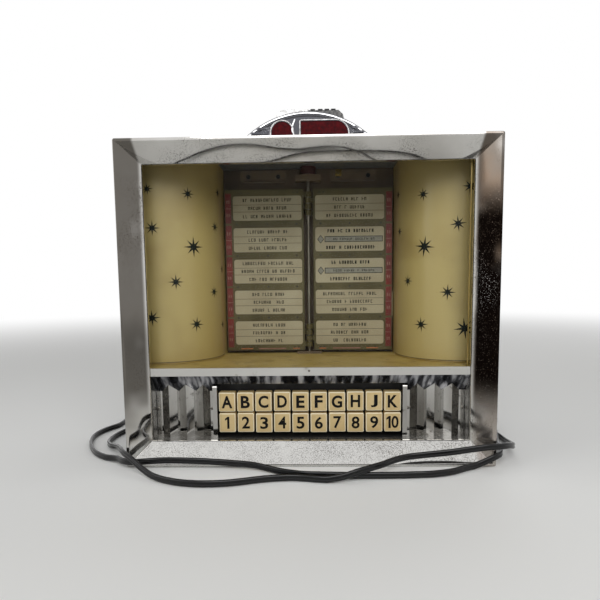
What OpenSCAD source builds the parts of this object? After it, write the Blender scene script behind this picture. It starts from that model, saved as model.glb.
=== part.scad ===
// Coin-operated wall box: a counter-top remote selector with a chrome window frame,
// turning title pages on a spine, twenty push keys and a coin head on the roof.
// The case stands on z = 0 and is centred in x and y; the window looks towards -y.
// "Depth" always means the distance behind the flat front lip of the frame.

/* [Front frame] */
// Width of the frame and case
frame_w = 305; // [290:1:330]
// Height of the frame and case, without the coin head
frame_h = 266; // [262:1:280]
// Depth of the frame's outer skirt
frame_depth = 26; // [24:1:32]
// Width of the flat lip round the front
lip_w = 2.5; // [1.5:0.5:4]
// How far the sloped border reaches in from the edge
border_w = 17; // [14:0.5:20]
// How deep the sloped border runs
border_depth = 17.5; // [15:0.5:19]
// Wall of the frame casting
frame_wall = 2; // [1.5:0.5:3]

/* [Case] */
// Overall depth from the lip to the back of the wall plate
case_depth = 140; // [138:1:160]
// Sheet thickness of the case
case_wall = 1.2; // [0.8:0.1:2]
// Thickness of the wall plate
wall_plate_t = 2; // [1.5:0.5:4]
// Width of the wall plate
wall_plate_w = 260; // [250:1:280]
// Height of the wall plate
wall_plate_h = 220; // [210:1:240]
// Sideways spacing of the four wall screw holes
wall_bolt_x = 220; // [200:1:230]
// Upright spacing of the four wall screw holes
wall_bolt_z = 180; // [160:1:190]
// Diameter of the wall screw holes
wall_bolt_d = 6.4; // [5:0.2:8]

/* [Window] */
// Thickness of the window glass
glass_t = 2.4; // [2:0.2:3]
// How far the glass reaches behind the border on each side
glass_lap = 5.5; // [3:0.5:8]
// Height of the shelf's top above the base
shelf_top = 79.4; // [78:0.1:82]
// Sheet thickness of the shelf
shelf_t = 1.4; // [1:0.1:2]
// Height of the bright strip along the shelf's front
ledge_h = 6.8; // [6:0.2:8]
// Thickness of the bright strip
ledge_t = 2.4; // [1.6:0.2:2.4]
// Thickness of the foot under the glass
ledge_foot_t = 1.5; // [1:0.1:2]
// Slope of the canopy below the strip, as drop per unit of depth
canopy_slope = 1.15; // [1:0.05:1.3]
// Thickness of the canopy sheet, measured along the depth
canopy_t = 1.6; // [1:0.1:2]

/* [Wings] */
// Half the width of the stage between the two curved wings
stage_half_w = 85.5; // [85.2:0.1:88]
// Sheet thickness of a wing
wing_t = 1.2; // [0.8:0.1:2]
// Depth at which a wing starts, beside the case wall
wing_front_depth = 42; // [38:1:48]
// Depth at which a wing's curve ends and runs straight back
wing_rear_depth = 97; // [92:1:99]
// Fullness of the wing's curve, where 2 is an ellipse
wing_fullness = 2.25; // [2:0.05:2.6]

/* [Pages] */
// Depth of the spine's axis
spine_depth = 108; // [108:1:112]
// Distance from the spine to the outer edge of a page
page_reach = 83.6; // [80:0.1:83.8]
// Distance from the spine to the inner edge of a page
page_inner = 4.8; // [4.6:0.1:5.5]
// Height of a page
page_h = 161.5; // [160:0.5:163]
// Gap between the shelf and the pages
page_lift = 3.2; // [3:0.1:4]
// Thickness of a page
page_t = 1.5; // [1.2:0.1:1.6]
// Step from one page to the next in a stack
page_step = 2.4; // [2.2:0.1:2.6]
// Width of a title window
window_w = 69; // [66:0.5:70]
// Height of a title window
window_h = 24.4; // [22:0.2:26]
// Upright spacing of the title windows
window_pitch = 31.3; // [30:0.1:31.5]
// Corner radius of a title window
window_r = 2.5; // [1:0.5:4]
// Depth of the recess that holds a title strip
recess_t = 0.35; // [0.3:0.05:0.4]
// Thickness of a title strip
strip_t = 0.25; // [0.2:0.05:0.3]

/* [Spine] */
// Diameter of the spine rod
rod_d = 3.2; // [3:0.1:3.4]
// Outer diameter of a page's knuckle
knuckle_d = 6.4; // [6:0.1:6.6]
// Height of a knuckle
knuckle_h = 5; // [4:0.5:5.5]
// Radial running clearance of a knuckle on the rod
knuckle_gap = 0.05; // [0.03:0.01:0.1]
// Width of the spine's upper and lower brackets
bracket_w = 25; // [20:1:30]

/* [Keys] */
// Sideways spacing of the keys
key_pitch = 16; // [15.6:0.1:16.2]
// Width of a key cap
key_w = 14.4; // [13.6:0.1:14.8]
// Height of a key cap
key_h = 17; // [16:0.1:17.6]
// Upright spacing of the two rows
row_pitch = 18.7; // [18.2:0.1:19.2]
// Height of the number row's centre above the base
number_row_z = 29.8; // [29:0.1:31]
// Depth of a key's face behind the lip
key_face_depth = 27; // [26:0.5:28]
// Thickness of a key cap
key_cap_t = 9; // [7:0.5:10]
// Travel of a key
key_travel = 4; // [3:0.5:4.5]
// Width of a key's stem
stem_w = 6; // [5:0.5:6]
// Height of a key's stem
stem_h = 4; // [3:0.5:4]
// Clearance of a stem in its slots
stem_gap = 0.2; // [0.1:0.05:0.3]
// Length of a stem behind its cap
stem_l = 34; // [30:1:40]
// How far a stem reaches past its guide wall
stem_past = 6; // [5:0.5:8]
// How far the key tray reaches behind the pressed stems
tray_past = 8; // [6:1:12]
// How far the tray's legs stand in from the window's edge
leg_in = 6; // [4:1:20]

/* [Grilles] */
// Sideways spacing of the pleats
pleat_pitch = 15; // [14.5:0.1:15.1]
// Depth of the pleats
pleat_depth = 6; // [5:0.5:7]
// Depth of the pleats' front edges behind the lip
pleat_face_depth = 25.5; // [25:0.5:27]
// Sheet thickness of the pleats, measured along the depth
pleat_t = 1; // [0.8:0.1:1.4]

/* [Coin head] */
// Radius of the coin head's arch
arch_r = 86; // [80:1:95]
// Height of the arch above the case
arch_rise = 43; // [38:1:46]
// Depth of the coin head's face
head_face_depth = 80; // [76:1:84]
// Thickness of the coin head, front to back
head_t = 56; // [55:1:58]
// Wall of the coin head casting
head_wall = 3; // [2:0.5:4]
// Width of the raised coin plate
coin_plate_w = 56; // [50:1:60]
// Height of the lenses' sill above the case
lens_sill = 8; // [6:1:12]
// Height of the lenses' tops above the case
lens_rise = 34.2; // [30:0.2:35]
// Width of the round-topped lens
left_lens_w = 19.6; // [17:0.2:21]
// Width of the long lens
right_lens_w = 43.6; // [38:0.2:45]
// Radius of the long lens's round corner
right_lens_r = 11.5; // [8:0.5:14]

/* [Cord] */
// Width of the flat two-wire cord
cord_w = 5.4; // [5:0.1:6]
// Thickness of the flat cord
cord_t = 2.8; // [2.4:0.1:3.2]
// Diameter of the coil at the middle of its turns
coil_d = 62; // [56:1:68]
// Turns in the coil
coil_turns = 4; // [3:1:6]

/* [Hidden] */
$fn = 48;

LETTERS = ["a", "b", "c", "d", "e", "f", "g", "h", "j", "k"];
KEYS_IN_ROW = 10;
WINDOWS = 5;

// Places worked out from the sizes above
border_back = 2.8;                                  // border sheet, measured along the depth
seat = 0.2;                                         // clearance of loose-fitted panes and caps
open_half_w = frame_w / 2 - border_w;
inner_half_w = frame_w / 2 - case_wall;
ceiling_z = frame_h - case_wall;
back_in_depth = case_depth - wall_plate_t - case_wall;
glass_depth = border_depth + border_back + seat;
glass_back = glass_depth + glass_t;
ledge_depth = glass_depth - seat - ledge_t;
ledge_top = shelf_top + 0.6;
ledge_bottom = ledge_top - ledge_h;
foot_top = ledge_bottom + ledge_foot_t;
nose_depth = glass_back + seat;
nose_t = 1.4;
foot_depth = nose_depth + nose_t + 2;
panel_depth = spine_depth + 8;
panel_t = 1.2;
page_z = shelf_top + page_lift;
spine_y = fy(spine_depth);
rear_step = 1.5 * page_step;                        // rear leaf, behind the spine's axis
front_step = 0.5 * page_step;                       // front leaf, behind the spine's axis
end_step = 2.5 * page_step;                         // fixed end page, behind the axis
knuckle_pitch = knuckle_h + 1;
upper_knuckle_z = page_z + page_h - knuckle_h - 3;
lower_knuckle_z = page_z + 4;
window_x = (page_inner + page_reach) / 2 - 3.1;     // window centre, outer band left free
window_z = page_z + (page_h - (WINDOWS - 1) * window_pitch) / 2 - 0.2;
letter_row_z = number_row_z + row_pitch;
key_wall_depth = key_face_depth + key_cap_t + key_travel + 1;
key_wall_t = 1.2;
stem_end_depth = key_face_depth + key_cap_t + stem_l;
guide_depth = stem_end_depth - stem_past;
collar_t = 2;
spring_d = 9;
tray_depth = border_depth + border_back + seat;
tray_back = stem_end_depth + key_travel + tray_past;
tray_top = border_w;
tray_t = 1.2;
cheek_in = (KEYS_IN_ROW * key_pitch) / 2 + 0.4;
cheek_out = cheek_in + 3.8;
pleat_in = cheek_out + 0.4;
pleat_out = open_half_w - 0.5;
pleat_flange = 3;
pleat_first = pleat_in + pleat_flange + pleat_pitch / 3;
pleat_back = pleat_face_depth + pleat_depth;
pleats = floor((pleat_out - pleat_flange - pleat_first) / pleat_pitch + 0.6);
arch_z = frame_h + arch_rise - arch_r;
chute_w = 34;
chute_t = 13;
chute_depth = panel_depth + panel_t + 2;
chute_wall = 1;
chute_bottom = 46;
coin_plate_top = frame_h + arch_rise + 3;
panel_screw_x = 45;
panel_screw_z = ceiling_z - 4;

function fy(depth) = depth - case_depth / 2;
function key_x(i) = (i - (KEYS_IN_ROW - 1) / 2) * key_pitch;

// ---- Shared shapes ----

// A box given by its half width, its depth range and its height range
module slab(half_w, d0, d1, z0, z1) {
    translate([-half_w, fy(d0), z0]) cube([2 * half_w, d1 - d0, z1 - z0]);
}

// A box given by its x, depth and height ranges
module block(x0, x1, d0, d1, z0, z1) {
    translate([x0, fy(d0), z0]) cube([x1 - x0, d1 - d0, z1 - z0]);
}

// A profile drawn in depth and height, run along x
module run_x(half_w) {
    rotate([90, 0, 90]) translate([0, 0, -half_w]) linear_extrude(2 * half_w) children();
}

// A round bar along the depth
module bar(x, z, d0, d1, dia) {
    translate([x, fy(d0), z]) rotate([-90, 0, 0]) cylinder(d = dia, h = d1 - d0);
}

// A rectangular block whose four sides taper from one inset to another
module taper(in0, d0, in1, d1) {
    far = 1;
    intersection() {
        translate([0, 0, -far]) linear_extrude(frame_h + 2 * far) polygon([
            [-(frame_w / 2 - in0), fy(d0)],
            [frame_w / 2 - in0, fy(d0)],
            [frame_w / 2 - in1, fy(d1)],
            [-(frame_w / 2 - in1), fy(d1)]
        ]);
        run_x(frame_w / 2 + far) polygon([
            [fy(d0), in0],
            [fy(d0), frame_h - in0],
            [fy(d1), frame_h - in1],
            [fy(d1), in1]
        ]);
    }
}

// A flat rectangle with round corners, centred
module round_rect(w, h, r) {
    square([w - 2 * r, h], center = true);
    square([w, h - 2 * r], center = true);
    for (x = [-1, 1], z = [-1, 1]) translate([x * (w / 2 - r), z * (h / 2 - r)]) circle(r);
}

// A round-cornered slab facing the window, between two depths
module face_slab(x, z, w, h, r, d0, d1) {
    translate([x, fy(d1), z]) rotate([90, 0, 0]) linear_extrude(d1 - d0) round_rect(w, h, r);
}

// ---- Frame and case ----

module front_frame() {
    color("silver") difference() {
        union() {
            difference() {
                slab(frame_w / 2, 0, frame_depth, 0, frame_h);
                slab(frame_w / 2 - frame_wall, -1, frame_depth + 1, frame_wall,
                    frame_h - frame_wall);
            }
            slab(frame_w / 2, 0, border_back, 0, frame_h);
            taper(lip_w, border_back, border_w, border_depth + border_back);
        }
        taper(lip_w, 0, border_w, border_depth);
        translate([0, -1, 0]) taper(lip_w, 0, lip_w, 1);
        slab(open_half_w, border_depth - 0.01, frame_depth + 1, border_w, frame_h - border_w);
    }
}

module wall_holes(d0, d1) {
    mid_z = frame_h / 2;
    for (x = [-1, 1], z = [-1, 1])
        bar(x * wall_bolt_x / 2, mid_z + z * wall_bolt_z / 2, d0, d1, wall_bolt_d);
}

module rear_case() {
    color("dimgray") difference() {
        slab(frame_w / 2, frame_depth, case_depth - wall_plate_t, 0, frame_h);
        slab(inner_half_w, frame_depth - 1, back_in_depth, case_wall, ceiling_z);
        wall_holes(back_in_depth - 1, case_depth);
        // throat for the coin chute
        slab(chute_w / 2 + 1, chute_depth - 1, chute_depth + chute_t + 1,
            ceiling_z - 1, frame_h + 1);
        // hole for the cord's strain relief
        translate([inner_half_w - 1, fy(relief_depth), relief_z])
            rotate([0, 90, 0]) cylinder(d = relief_neck_d, h = case_wall + 2);
    }
}

module wall_plate() {
    color("gray") difference() {
        slab(wall_plate_w / 2, case_depth - wall_plate_t, case_depth,
            (frame_h - wall_plate_h) / 2, (frame_h + wall_plate_h) / 2);
        wall_holes(case_depth - wall_plate_t - 1, case_depth + 1);
    }
}

// ---- Window, shelf and wings ----

module window_glass() {
    color("lightcyan", 0.3) slab(open_half_w + glass_lap, glass_depth, glass_back,
        foot_top, frame_h - border_w + glass_lap);
}

module ledge_strip() {
    color("gainsboro") difference() {
        union() {
            slab(open_half_w - seat, ledge_depth, ledge_depth + ledge_t, ledge_bottom, ledge_top);
            slab(open_half_w - seat, ledge_depth, foot_depth, ledge_bottom, foot_top);
        }
        // countersink for the strip's screw
        bar(0, (ledge_top + foot_top) / 2, ledge_depth - 1, ledge_depth + 1,
            screw_d + 2 * screw_fit);
    }
}

// The canopy's face, as drop against depth, starts at the strip's lower front edge
function canopy_z(depth) = ledge_bottom - canopy_slope * (depth - ledge_depth);

module canopy_run(half_w, end_depth) {
    run_x(half_w) polygon([
        [fy(ledge_depth), ledge_bottom],
        [fy(ledge_depth + canopy_t), ledge_bottom],
        [fy(end_depth + canopy_t), canopy_z(end_depth)],
        [fy(end_depth), canopy_z(end_depth)]
    ]);
}

module canopy() {
    color("silver") difference() {
        canopy_run(open_half_w - seat, pleat_back + 2);
        slab(cheek_out + seat, key_face_depth - 2, pleat_back + pleat_depth, 0,
            canopy_z(key_face_depth - 2));
    }
}

module shelf() {
    color("cornsilk") union() {
        slab(inner_half_w, frame_depth + 0.5, panel_depth, shelf_top - shelf_t, shelf_top);
        slab(open_half_w + glass_lap, nose_depth, frame_depth + 0.5, shelf_top - shelf_t,
            shelf_top);
        slab(open_half_w - seat, nose_depth, nose_depth + nose_t, foot_top, shelf_top);
    }
}

module back_panel() {
    color("#3a302a") difference() {
        slab(inner_half_w, panel_depth, panel_depth + panel_t, shelf_top - shelf_t, ceiling_z);
        for (side = [-1, 1])
            bar(side * panel_screw_x, panel_screw_z, panel_depth - 1, panel_depth + 3,
                screw_d + 2 * screw_fit);
    }
}

// A wing's inner face: a full quarter curve from the case wall to the stage's edge
function wing_x(t) = inner_half_w - (inner_half_w - stage_half_w) * pow(sin(t), 2 / wing_fullness);
function wing_d(t) = wing_rear_depth
    - (wing_rear_depth - wing_front_depth) * pow(cos(t), 2 / wing_fullness);
WING_STEPS = 24;

module wing(side) {
    steps = [for (i = [0 : WING_STEPS]) 90 * i / WING_STEPS];
    face = [for (t = steps) [wing_x(t), wing_d(t)]];
    grow = [for (t = steps) [wing_t * pow(sin(t), 2), wing_t * pow(cos(t), 2) + 0.4 * sin(2 * t)]];
    back = [for (i = [WING_STEPS : -1 : 0]) face[i] + grow[i]];
    outline = concat(face, [
        [stage_half_w, panel_depth],
        [stage_half_w + wing_t, panel_depth]
    ], back);
    color("khaki") translate([0, 0, shelf_top]) linear_extrude(ceiling_z - shelf_top)
        polygon([for (p = outline) [side * min(p[0], inner_half_w), fy(p[1])]]);
}

module left_wing_panel() { wing(-1); }
module right_wing_panel() { wing(1); }

// ---- Grilles and cheeks beside the keys ----

function pleat_line(x) = pleat_face_depth + pleat_depth
    * min(1, abs(((x - pleat_first) / pleat_pitch) - round((x - pleat_first) / pleat_pitch)) * 2);

module pleated_grille(side) {
    folds = [for (i = [0 : 2 * pleats - 1]) pleat_first + i * pleat_pitch / 2];
    front = concat([[pleat_in, pleat_back], [pleat_in + pleat_flange, pleat_back]],
        [for (x = folds) [x, pleat_line(x)]], [[pleat_out, pleat_back]]);
    behind = [for (i = [len(front) - 1 : -1 : 0]) front[i] + [0, pleat_t]];
    color("silver") difference() {
        translate([0, 0, tray_top]) linear_extrude(ledge_bottom - tray_top)
            polygon([for (p = concat(front, behind)) [side * p[0], fy(p[1])]]);
        // room for the canopy that closes the pleats above
        run_x(frame_w / 2) polygon([
            [fy(0), ledge_bottom + canopy_slope * ledge_depth + 1],
            [fy(0), canopy_z(0)],
            [fy(2 * pleat_back), canopy_z(2 * pleat_back)],
            [fy(2 * pleat_back), ledge_bottom + canopy_slope * ledge_depth + 1]
        ]);
    }
}

module left_pleated_grille() { pleated_grille(-1); }
module right_pleated_grille() { pleated_grille(1); }

cheek_top = letter_row_z + key_h / 2 + 4.5;
cheek_face_depth = pleat_face_depth - 0.5;
cheek_roll_d = 4;

module key_cheek(side) {
    x0 = side > 0 ? cheek_in : -cheek_out;
    color("silver") union() {
        block(x0, x0 + cheek_out - cheek_in, cheek_face_depth, key_wall_depth, tray_top, cheek_top);
        translate([x0, fy(cheek_face_depth + cheek_roll_d / 2), cheek_top])
            rotate([0, 90, 0]) cylinder(d = cheek_roll_d, h = cheek_out - cheek_in);
    }
}

module key_cheeks() {
    key_cheek(-1);
    key_cheek(1);
}

screw_d = 2;
screw_head_d = 2.8;
screw_head_t = 1;
screw_fit = 0.1;

module small_screws() {
    screw_z = 41.8;
    inner_x = pleat_in + screw_head_d / 2 + 0.1;
    outer_x = pleat_out - screw_head_d / 2 - 0.1;
    color("dimgray") union() {
        for (side = [-1, 1], x = [inner_x, outer_x])
            bar(side * x, screw_z, pleat_back - screw_head_t, pleat_back, screw_head_d);
        bar(0, (ledge_top + foot_top) / 2, ledge_depth - 0.4, ledge_depth + 1, screw_d);
        for (side = [-1, 1]) {
            bar(side * panel_screw_x, panel_screw_z, panel_depth, panel_depth + 3, screw_d);
            bar(side * panel_screw_x, panel_screw_z, panel_depth - screw_head_t, panel_depth,
                1.5 * screw_head_d);
        }
    }
}

// ---- Key bank ----

// One slot for every key stem, cut through a wall
module stem_slots(d0, d1) {
    for (i = [0 : KEYS_IN_ROW - 1], z = [number_row_z, letter_row_z])
        block(key_x(i) - stem_w / 2 - stem_gap, key_x(i) + stem_w / 2 + stem_gap, d0, d1,
            z - stem_h / 2 - stem_gap, z + stem_h / 2 + stem_gap);
}

module key_frame() {
    wall_top = ledge_bottom - 1;
    leg_x = open_half_w - leg_in;
    color("#202020") union() {
        slab(open_half_w - seat, tray_depth, tray_back, tray_top - tray_t, tray_top);
        for (d = [key_wall_depth, guide_depth]) difference() {
            slab(cheek_out, d, d + key_wall_t, tray_top - 0.01, wall_top);
            stem_slots(d - 1, d + key_wall_t + 1);
        }
        for (x = [-cheek_out, cheek_out - key_wall_t])
            block(x, x + key_wall_t, key_wall_depth, guide_depth + key_wall_t,
                tray_top - 0.01, wall_top);
        for (x = [-leg_x, leg_x - tray_t])
            block(x, x + tray_t, key_wall_depth, tray_back, case_wall, tray_top - tray_t + 0.01);
    }
}

// Return springs, drawn at the length that they have with the key pressed
module key_springs() {
    free_end = key_wall_depth + key_wall_t + 0.3 + collar_t + key_travel + 0.3;
    color("lightgray") union() {
        for (i = [0 : KEYS_IN_ROW - 1], z = [number_row_z, letter_row_z]) difference() {
            bar(key_x(i), z, free_end, guide_depth, spring_d);
            bar(key_x(i), z, free_end - 1, guide_depth + 1, spring_d - 1.2);
        }
    }
}

module contact_board() {
    board_depth = stem_end_depth + key_travel + 4.2;
    blade_w = 3;
    color("#6b4a2b") union() {
        slab(cheek_out, board_depth, board_depth + 1.6, tray_top, ledge_bottom - 6);
        for (i = [0 : KEYS_IN_ROW - 1], z = [number_row_z, letter_row_z])
            block(key_x(i) - blade_w / 2, key_x(i) + blade_w / 2,
                stem_end_depth + key_travel + 0.3, board_depth + 0.01, z - stem_h / 2, z + stem_h / 2);
    }
}

module key(i, row_z) {
    edge = 0.8;
    color("wheat") union() {
        face_slab(key_x(i), row_z, key_w, key_h, 1, key_face_depth + edge,
            key_face_depth + key_cap_t);
        face_slab(key_x(i), row_z, key_w - 2 * edge, key_h - 2 * edge, 0.8, key_face_depth,
            key_face_depth + edge + 0.01);
        block(key_x(i) - stem_w / 2, key_x(i) + stem_w / 2, key_face_depth + key_cap_t - 0.01,
            stem_end_depth, row_z - stem_h / 2, row_z + stem_h / 2);
        // collar behind the wall that keeps the key from being pulled out
        block(key_x(i) - stem_w / 2 - 1, key_x(i) + stem_w / 2 + 1,
            key_wall_depth + key_wall_t + 0.3, key_wall_depth + key_wall_t + 0.3 + collar_t,
            row_z - stem_h / 2 - 1, row_z + stem_h / 2 + 1);
    }
}

// ---- Pages ----

module page_windows(side, y, t) {
    for (k = [0 : WINDOWS - 1])
        translate([side * window_x, y + t, window_z + k * window_pitch])
            rotate([90, 0, 0]) linear_extrude(t) round_rect(window_w, window_h, window_r);
}

// A page plate behind the axis by "step", with title recesses on both faces
module page_plate(side, step) {
    y0 = spine_y + step - page_t / 2;
    x0 = side > 0 ? page_inner : -page_reach;
    difference() {
        translate([x0, y0, page_z]) cube([page_reach - page_inner, page_t, page_h]);
        page_windows(side, y0 - 1, 1 + recess_t);
        page_windows(side, y0 + page_t - recess_t, 1 + recess_t);
    }
}

// Knuckle on the spine rod and the tab that joins it to its page
module knuckle(side, step, z) {
    tab_t = 1.2;
    tab_l = page_inner + 0.5;
    tab_y = min(step, knuckle_d / 2) - tab_t / 2;
    difference() {
        union() {
            translate([0, spine_y, z]) cylinder(d = knuckle_d, h = knuckle_h);
            translate([side > 0 ? 0 : -tab_l, spine_y + tab_y, z])
                cube([tab_l, step + tab_t / 2 - tab_y, knuckle_h]);
        }
        translate([0, spine_y, z - 1]) cylinder(d = rod_d + 2 * knuckle_gap, h = knuckle_h + 2);
    }
}

module leaf(side, step, place) {
    color("#8d8a68") union() {
        page_plate(side, step);
        knuckle(side, step, upper_knuckle_z - place * knuckle_pitch);
        knuckle(side, step, lower_knuckle_z + place * knuckle_pitch);
    }
}

module strips(side, step, faces) {
    inner = window_w - 2 * seat;
    for (k = [0 : WINDOWS - 1], f = faces) {
        y = spine_y + step + f * (page_t / 2 - recess_t) + (f < 0 ? -strip_t : 0);
        translate([side * window_x, y + strip_t, window_z + k * window_pitch]) rotate([90, 0, 0])
            linear_extrude(strip_t) round_rect(inner, window_h - 2 * seat, window_r);
    }
}

module left_front_leaf() { leaf(-1, front_step, 0); }
module right_front_leaf() { leaf(1, front_step, 1); }
module left_rear_leaf() { leaf(-1, rear_step, 2); }
module right_rear_leaf() { leaf(1, rear_step, 3); }

module leaf_strips(side) {
    color("beige") union() {
        strips(side, front_step, [-1, 1]);
        strips(side, rear_step, [-1, 1]);
    }
}

module left_leaf_strips() { leaf_strips(-1); }
module right_leaf_strips() { leaf_strips(1); }

module end_pages() {
    stud_d = 4;
    color("#8d8a68") union() {
        for (side = [-1, 1]) {
            page_plate(side, end_step);
            for (x = [page_inner + 8, page_reach - 4], z = [page_z + 3, page_z + page_h - 3])
                translate([side * x, spine_y + end_step + page_t / 2 - 0.01, z])
                    rotate([-90, 0, 0]) cylinder(d = stud_d,
                        h = panel_depth - spine_depth - end_step - page_t / 2 + 0.01);
        }
    }
}

module end_page_strips() {
    color("beige") union() {
        strips(-1, end_step, [-1]);
        strips(1, end_step, [-1]);
    }
}

// ---- Spine ----

upper_bracket_z = page_z + page_h + 7;
bracket_t = 6;
hub_d = 15.6;
lower_bracket_t = page_lift - 0.8;

module spine_rod() {
    color("#5a5148") translate([0, spine_y, shelf_top])
        cylinder(d = rod_d, h = upper_bracket_z + bracket_t - shelf_top);
}

module spine_bracket(z, t) {
    nose = spine_depth - 4;
    difference() {
        slab(bracket_w / 2, nose, panel_depth, z, z + t);
        translate([0, spine_y, z - 1]) cylinder(d = rod_d + 2 * knuckle_gap, h = t + 2);
    }
}

module spine_brackets() {
    color("#403830") union() {
        spine_bracket(upper_bracket_z, bracket_t);
        spine_bracket(shelf_top, lower_bracket_t);
    }
}

// Hub that clamps the rod's top end above the upper bracket
module spine_hub() {
    color("#5c2a22") translate([0, spine_y, upper_bracket_z + bracket_t])
        cylinder(d = hub_d, h = ceiling_z - upper_bracket_z - bracket_t - seat);
}

// ---- Coin head and coin path ----

module arch(r, d0, d1, z0) {
    intersection() {
        translate([0, fy(d0), arch_z]) rotate([-90, 0, 0]) cylinder(r = r, h = d1 - d0, $fn = 96);
        slab(arch_r, d0 - 1, d1 + 1, z0, arch_z + arch_r + 1);
    }
}

lens_z0 = frame_h + lens_sill;
lens_z1 = frame_h + lens_rise;
left_lens_x = -23.5;
right_lens_x0 = -6;
right_lens_x1 = right_lens_x0 + right_lens_w;
lens_rim = 1.8;
head_relief = 0.8;                                  // how far rims and ribs stand proud

// The two lens openings: a round-topped one and a long one with one round corner
module lens_shapes(grow) {
    translate([left_lens_x, lens_z1 - left_lens_w / 2]) circle(left_lens_w / 2 + grow);
    translate([left_lens_x - left_lens_w / 2 - grow, lens_z0 - grow])
        square([left_lens_w + 2 * grow, lens_z1 - left_lens_w / 2 - lens_z0 + grow]);
    translate([right_lens_x0 - grow, lens_z0 - grow])
        square([right_lens_x1 - right_lens_x0 - right_lens_r + grow, lens_z1 - lens_z0 + 2 * grow]);
    translate([right_lens_x1 - right_lens_r - 0.1, lens_z0 - grow])
        square([right_lens_r + grow + 0.1, lens_z1 - lens_z0 - right_lens_r + grow]);
    translate([right_lens_x1 - right_lens_r, lens_z1 - right_lens_r]) circle(right_lens_r + grow);
}

module lens_cut(d0, d1, grow) {
    translate([0, fy(d1), 0]) rotate([90, 0, 0]) linear_extrude(d1 - d0) lens_shapes(grow);
}

module coin_head() {
    back = head_face_depth + head_t;
    color("silver") union() {
        difference() {
            arch(arch_r, head_face_depth, back, frame_h);
            arch(arch_r - head_wall, head_face_depth + head_wall, back - head_wall, frame_h - 1);
            lens_cut(head_face_depth - 1, head_face_depth + head_wall + 1, 0);
            // seat of the raised coin plate
            slab(coin_plate_w / 2 - 3, coin_plate_depth + 3, coin_plate_depth + coin_plate_t - 3,
                frame_h + arch_rise / 2, coin_plate_top + 1);
        }
        // bright rims round both lenses
        difference() {
            lens_cut(head_face_depth - head_relief, head_face_depth + 0.01, lens_rim);
            lens_cut(head_face_depth - 2, head_face_depth + 1, 0);
        }
        // ribs at both ends of the face
        intersection() {
            arch(arch_r - 1, head_face_depth - head_relief, head_face_depth + 1, frame_h);
            for (k = [0 : 6]) {
                z = frame_h + 2 + k * 4.2;
                block(-arch_r, left_lens_x - left_lens_w / 2 - 3.5, head_face_depth - 1,
                    head_face_depth + 0.5, z, z + 2);
                block(right_lens_x1 + 3.5, arch_r, head_face_depth - 1,
                    head_face_depth + 0.5, z, z + 2);
            }
        }
    }
}

module coin_head_lenses() {
    color("darkred") lens_cut(head_face_depth + head_wall, head_face_depth + head_wall + 1.5, 1);
}

coin_plate_depth = head_face_depth + 14;
coin_plate_t = head_t - 20;
COINS = [17.9, 21.2, 24.3];                         // three coin sizes
coin_slot_w = 2.2;

module coin_plate() {
    base_z = arch_z + sqrt(pow(arch_r, 2) - pow(coin_plate_w / 2, 2)) + 0.2;
    color("silver") difference() {
        union() {
            difference() {
                slab(coin_plate_w / 2, coin_plate_depth, coin_plate_depth + coin_plate_t,
                    base_z - 4, coin_plate_top);
                arch(arch_r + 0.02, coin_plate_depth - 1, coin_plate_depth + coin_plate_t + 1, 0);
            }
            slab(coin_plate_w / 2 - 3.2, coin_plate_depth + 3.2,
                coin_plate_depth + coin_plate_t - 3.2, frame_h + arch_rise - 12, coin_plate_top);
        }
        for (i = [0 : 2])
            block((i - 1) * 11 - coin_slot_w / 2, (i - 1) * 11 + coin_slot_w / 2,
                coin_plate_depth + coin_plate_t - 4 - COINS[i] - 1,
                coin_plate_depth + coin_plate_t - 4, frame_h, coin_plate_top + 1);
    }
}

// Chute with a sloped hopper under the coin slots and a wider coin rejector
module coin_chute() {
    top_z = frame_h + arch_rise - 12.3;
    rejector_w = 96;
    back = chute_depth + chute_t;
    hopper = coin_plate_depth + 2;
    color("#9a8a5a") difference() {
        union() {
            run_x(chute_w / 2) polygon([
                [fy(hopper), top_z], [fy(back), top_z], [fy(back), chute_bottom],
                [fy(chute_depth), chute_bottom], [fy(chute_depth), frame_h + 1],
                [fy(hopper), frame_h + 15]
            ]);
            slab(rejector_w / 2, chute_depth, back, 90, 190);
            // foot on the back of the case
            slab(chute_w / 2 - 4, back - 0.01, back_in_depth, 200, 214);
        }
        run_x(chute_w / 2 - chute_wall) polygon([
            [fy(hopper + chute_wall), top_z + 1], [fy(back - chute_wall), top_z + 1],
            [fy(back - chute_wall), chute_bottom - 1],
            [fy(chute_depth + chute_wall), chute_bottom - 1],
            [fy(chute_depth + chute_wall), frame_h + 3],
            [fy(hopper + chute_wall), frame_h + 17]
        ]);
        slab(rejector_w / 2 - chute_wall, chute_depth + chute_wall, back - chute_wall, 91, 189);
    }
}

module coin_box() {
    half_w = 48;
    front = 92;
    wall = 1;
    top_z = chute_bottom - 1;
    color("gray") difference() {
        slab(half_w, front, back_in_depth - seat, case_wall, top_z);
        slab(half_w - wall, front + wall, back_in_depth - seat - wall, case_wall + wall, top_z + 1);
    }
}

// ---- Lamps and transformer ----

lamp_x = inner_half_w - 29.3;
lamp_depth = wing_rear_depth - 13;
socket_d = 18;
socket_h = 24;
socket_floor = 6;
bulb_base_d = 12;
bulb_base_l = 20;
bulb_d = 17;
bulb_neck_l = 6;
bulb_l = 30;

module lamp_sockets() {
    color("#d8d0c0") union() {
        for (side = [-1, 1]) {
            translate([side * lamp_x, fy(lamp_depth), shelf_top]) difference() {
                cylinder(d = socket_d, h = socket_h);
                translate([0, 0, socket_floor]) cylinder(d = bulb_base_d + 0.6, h = socket_h);
            }
        }
    }
}

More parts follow.
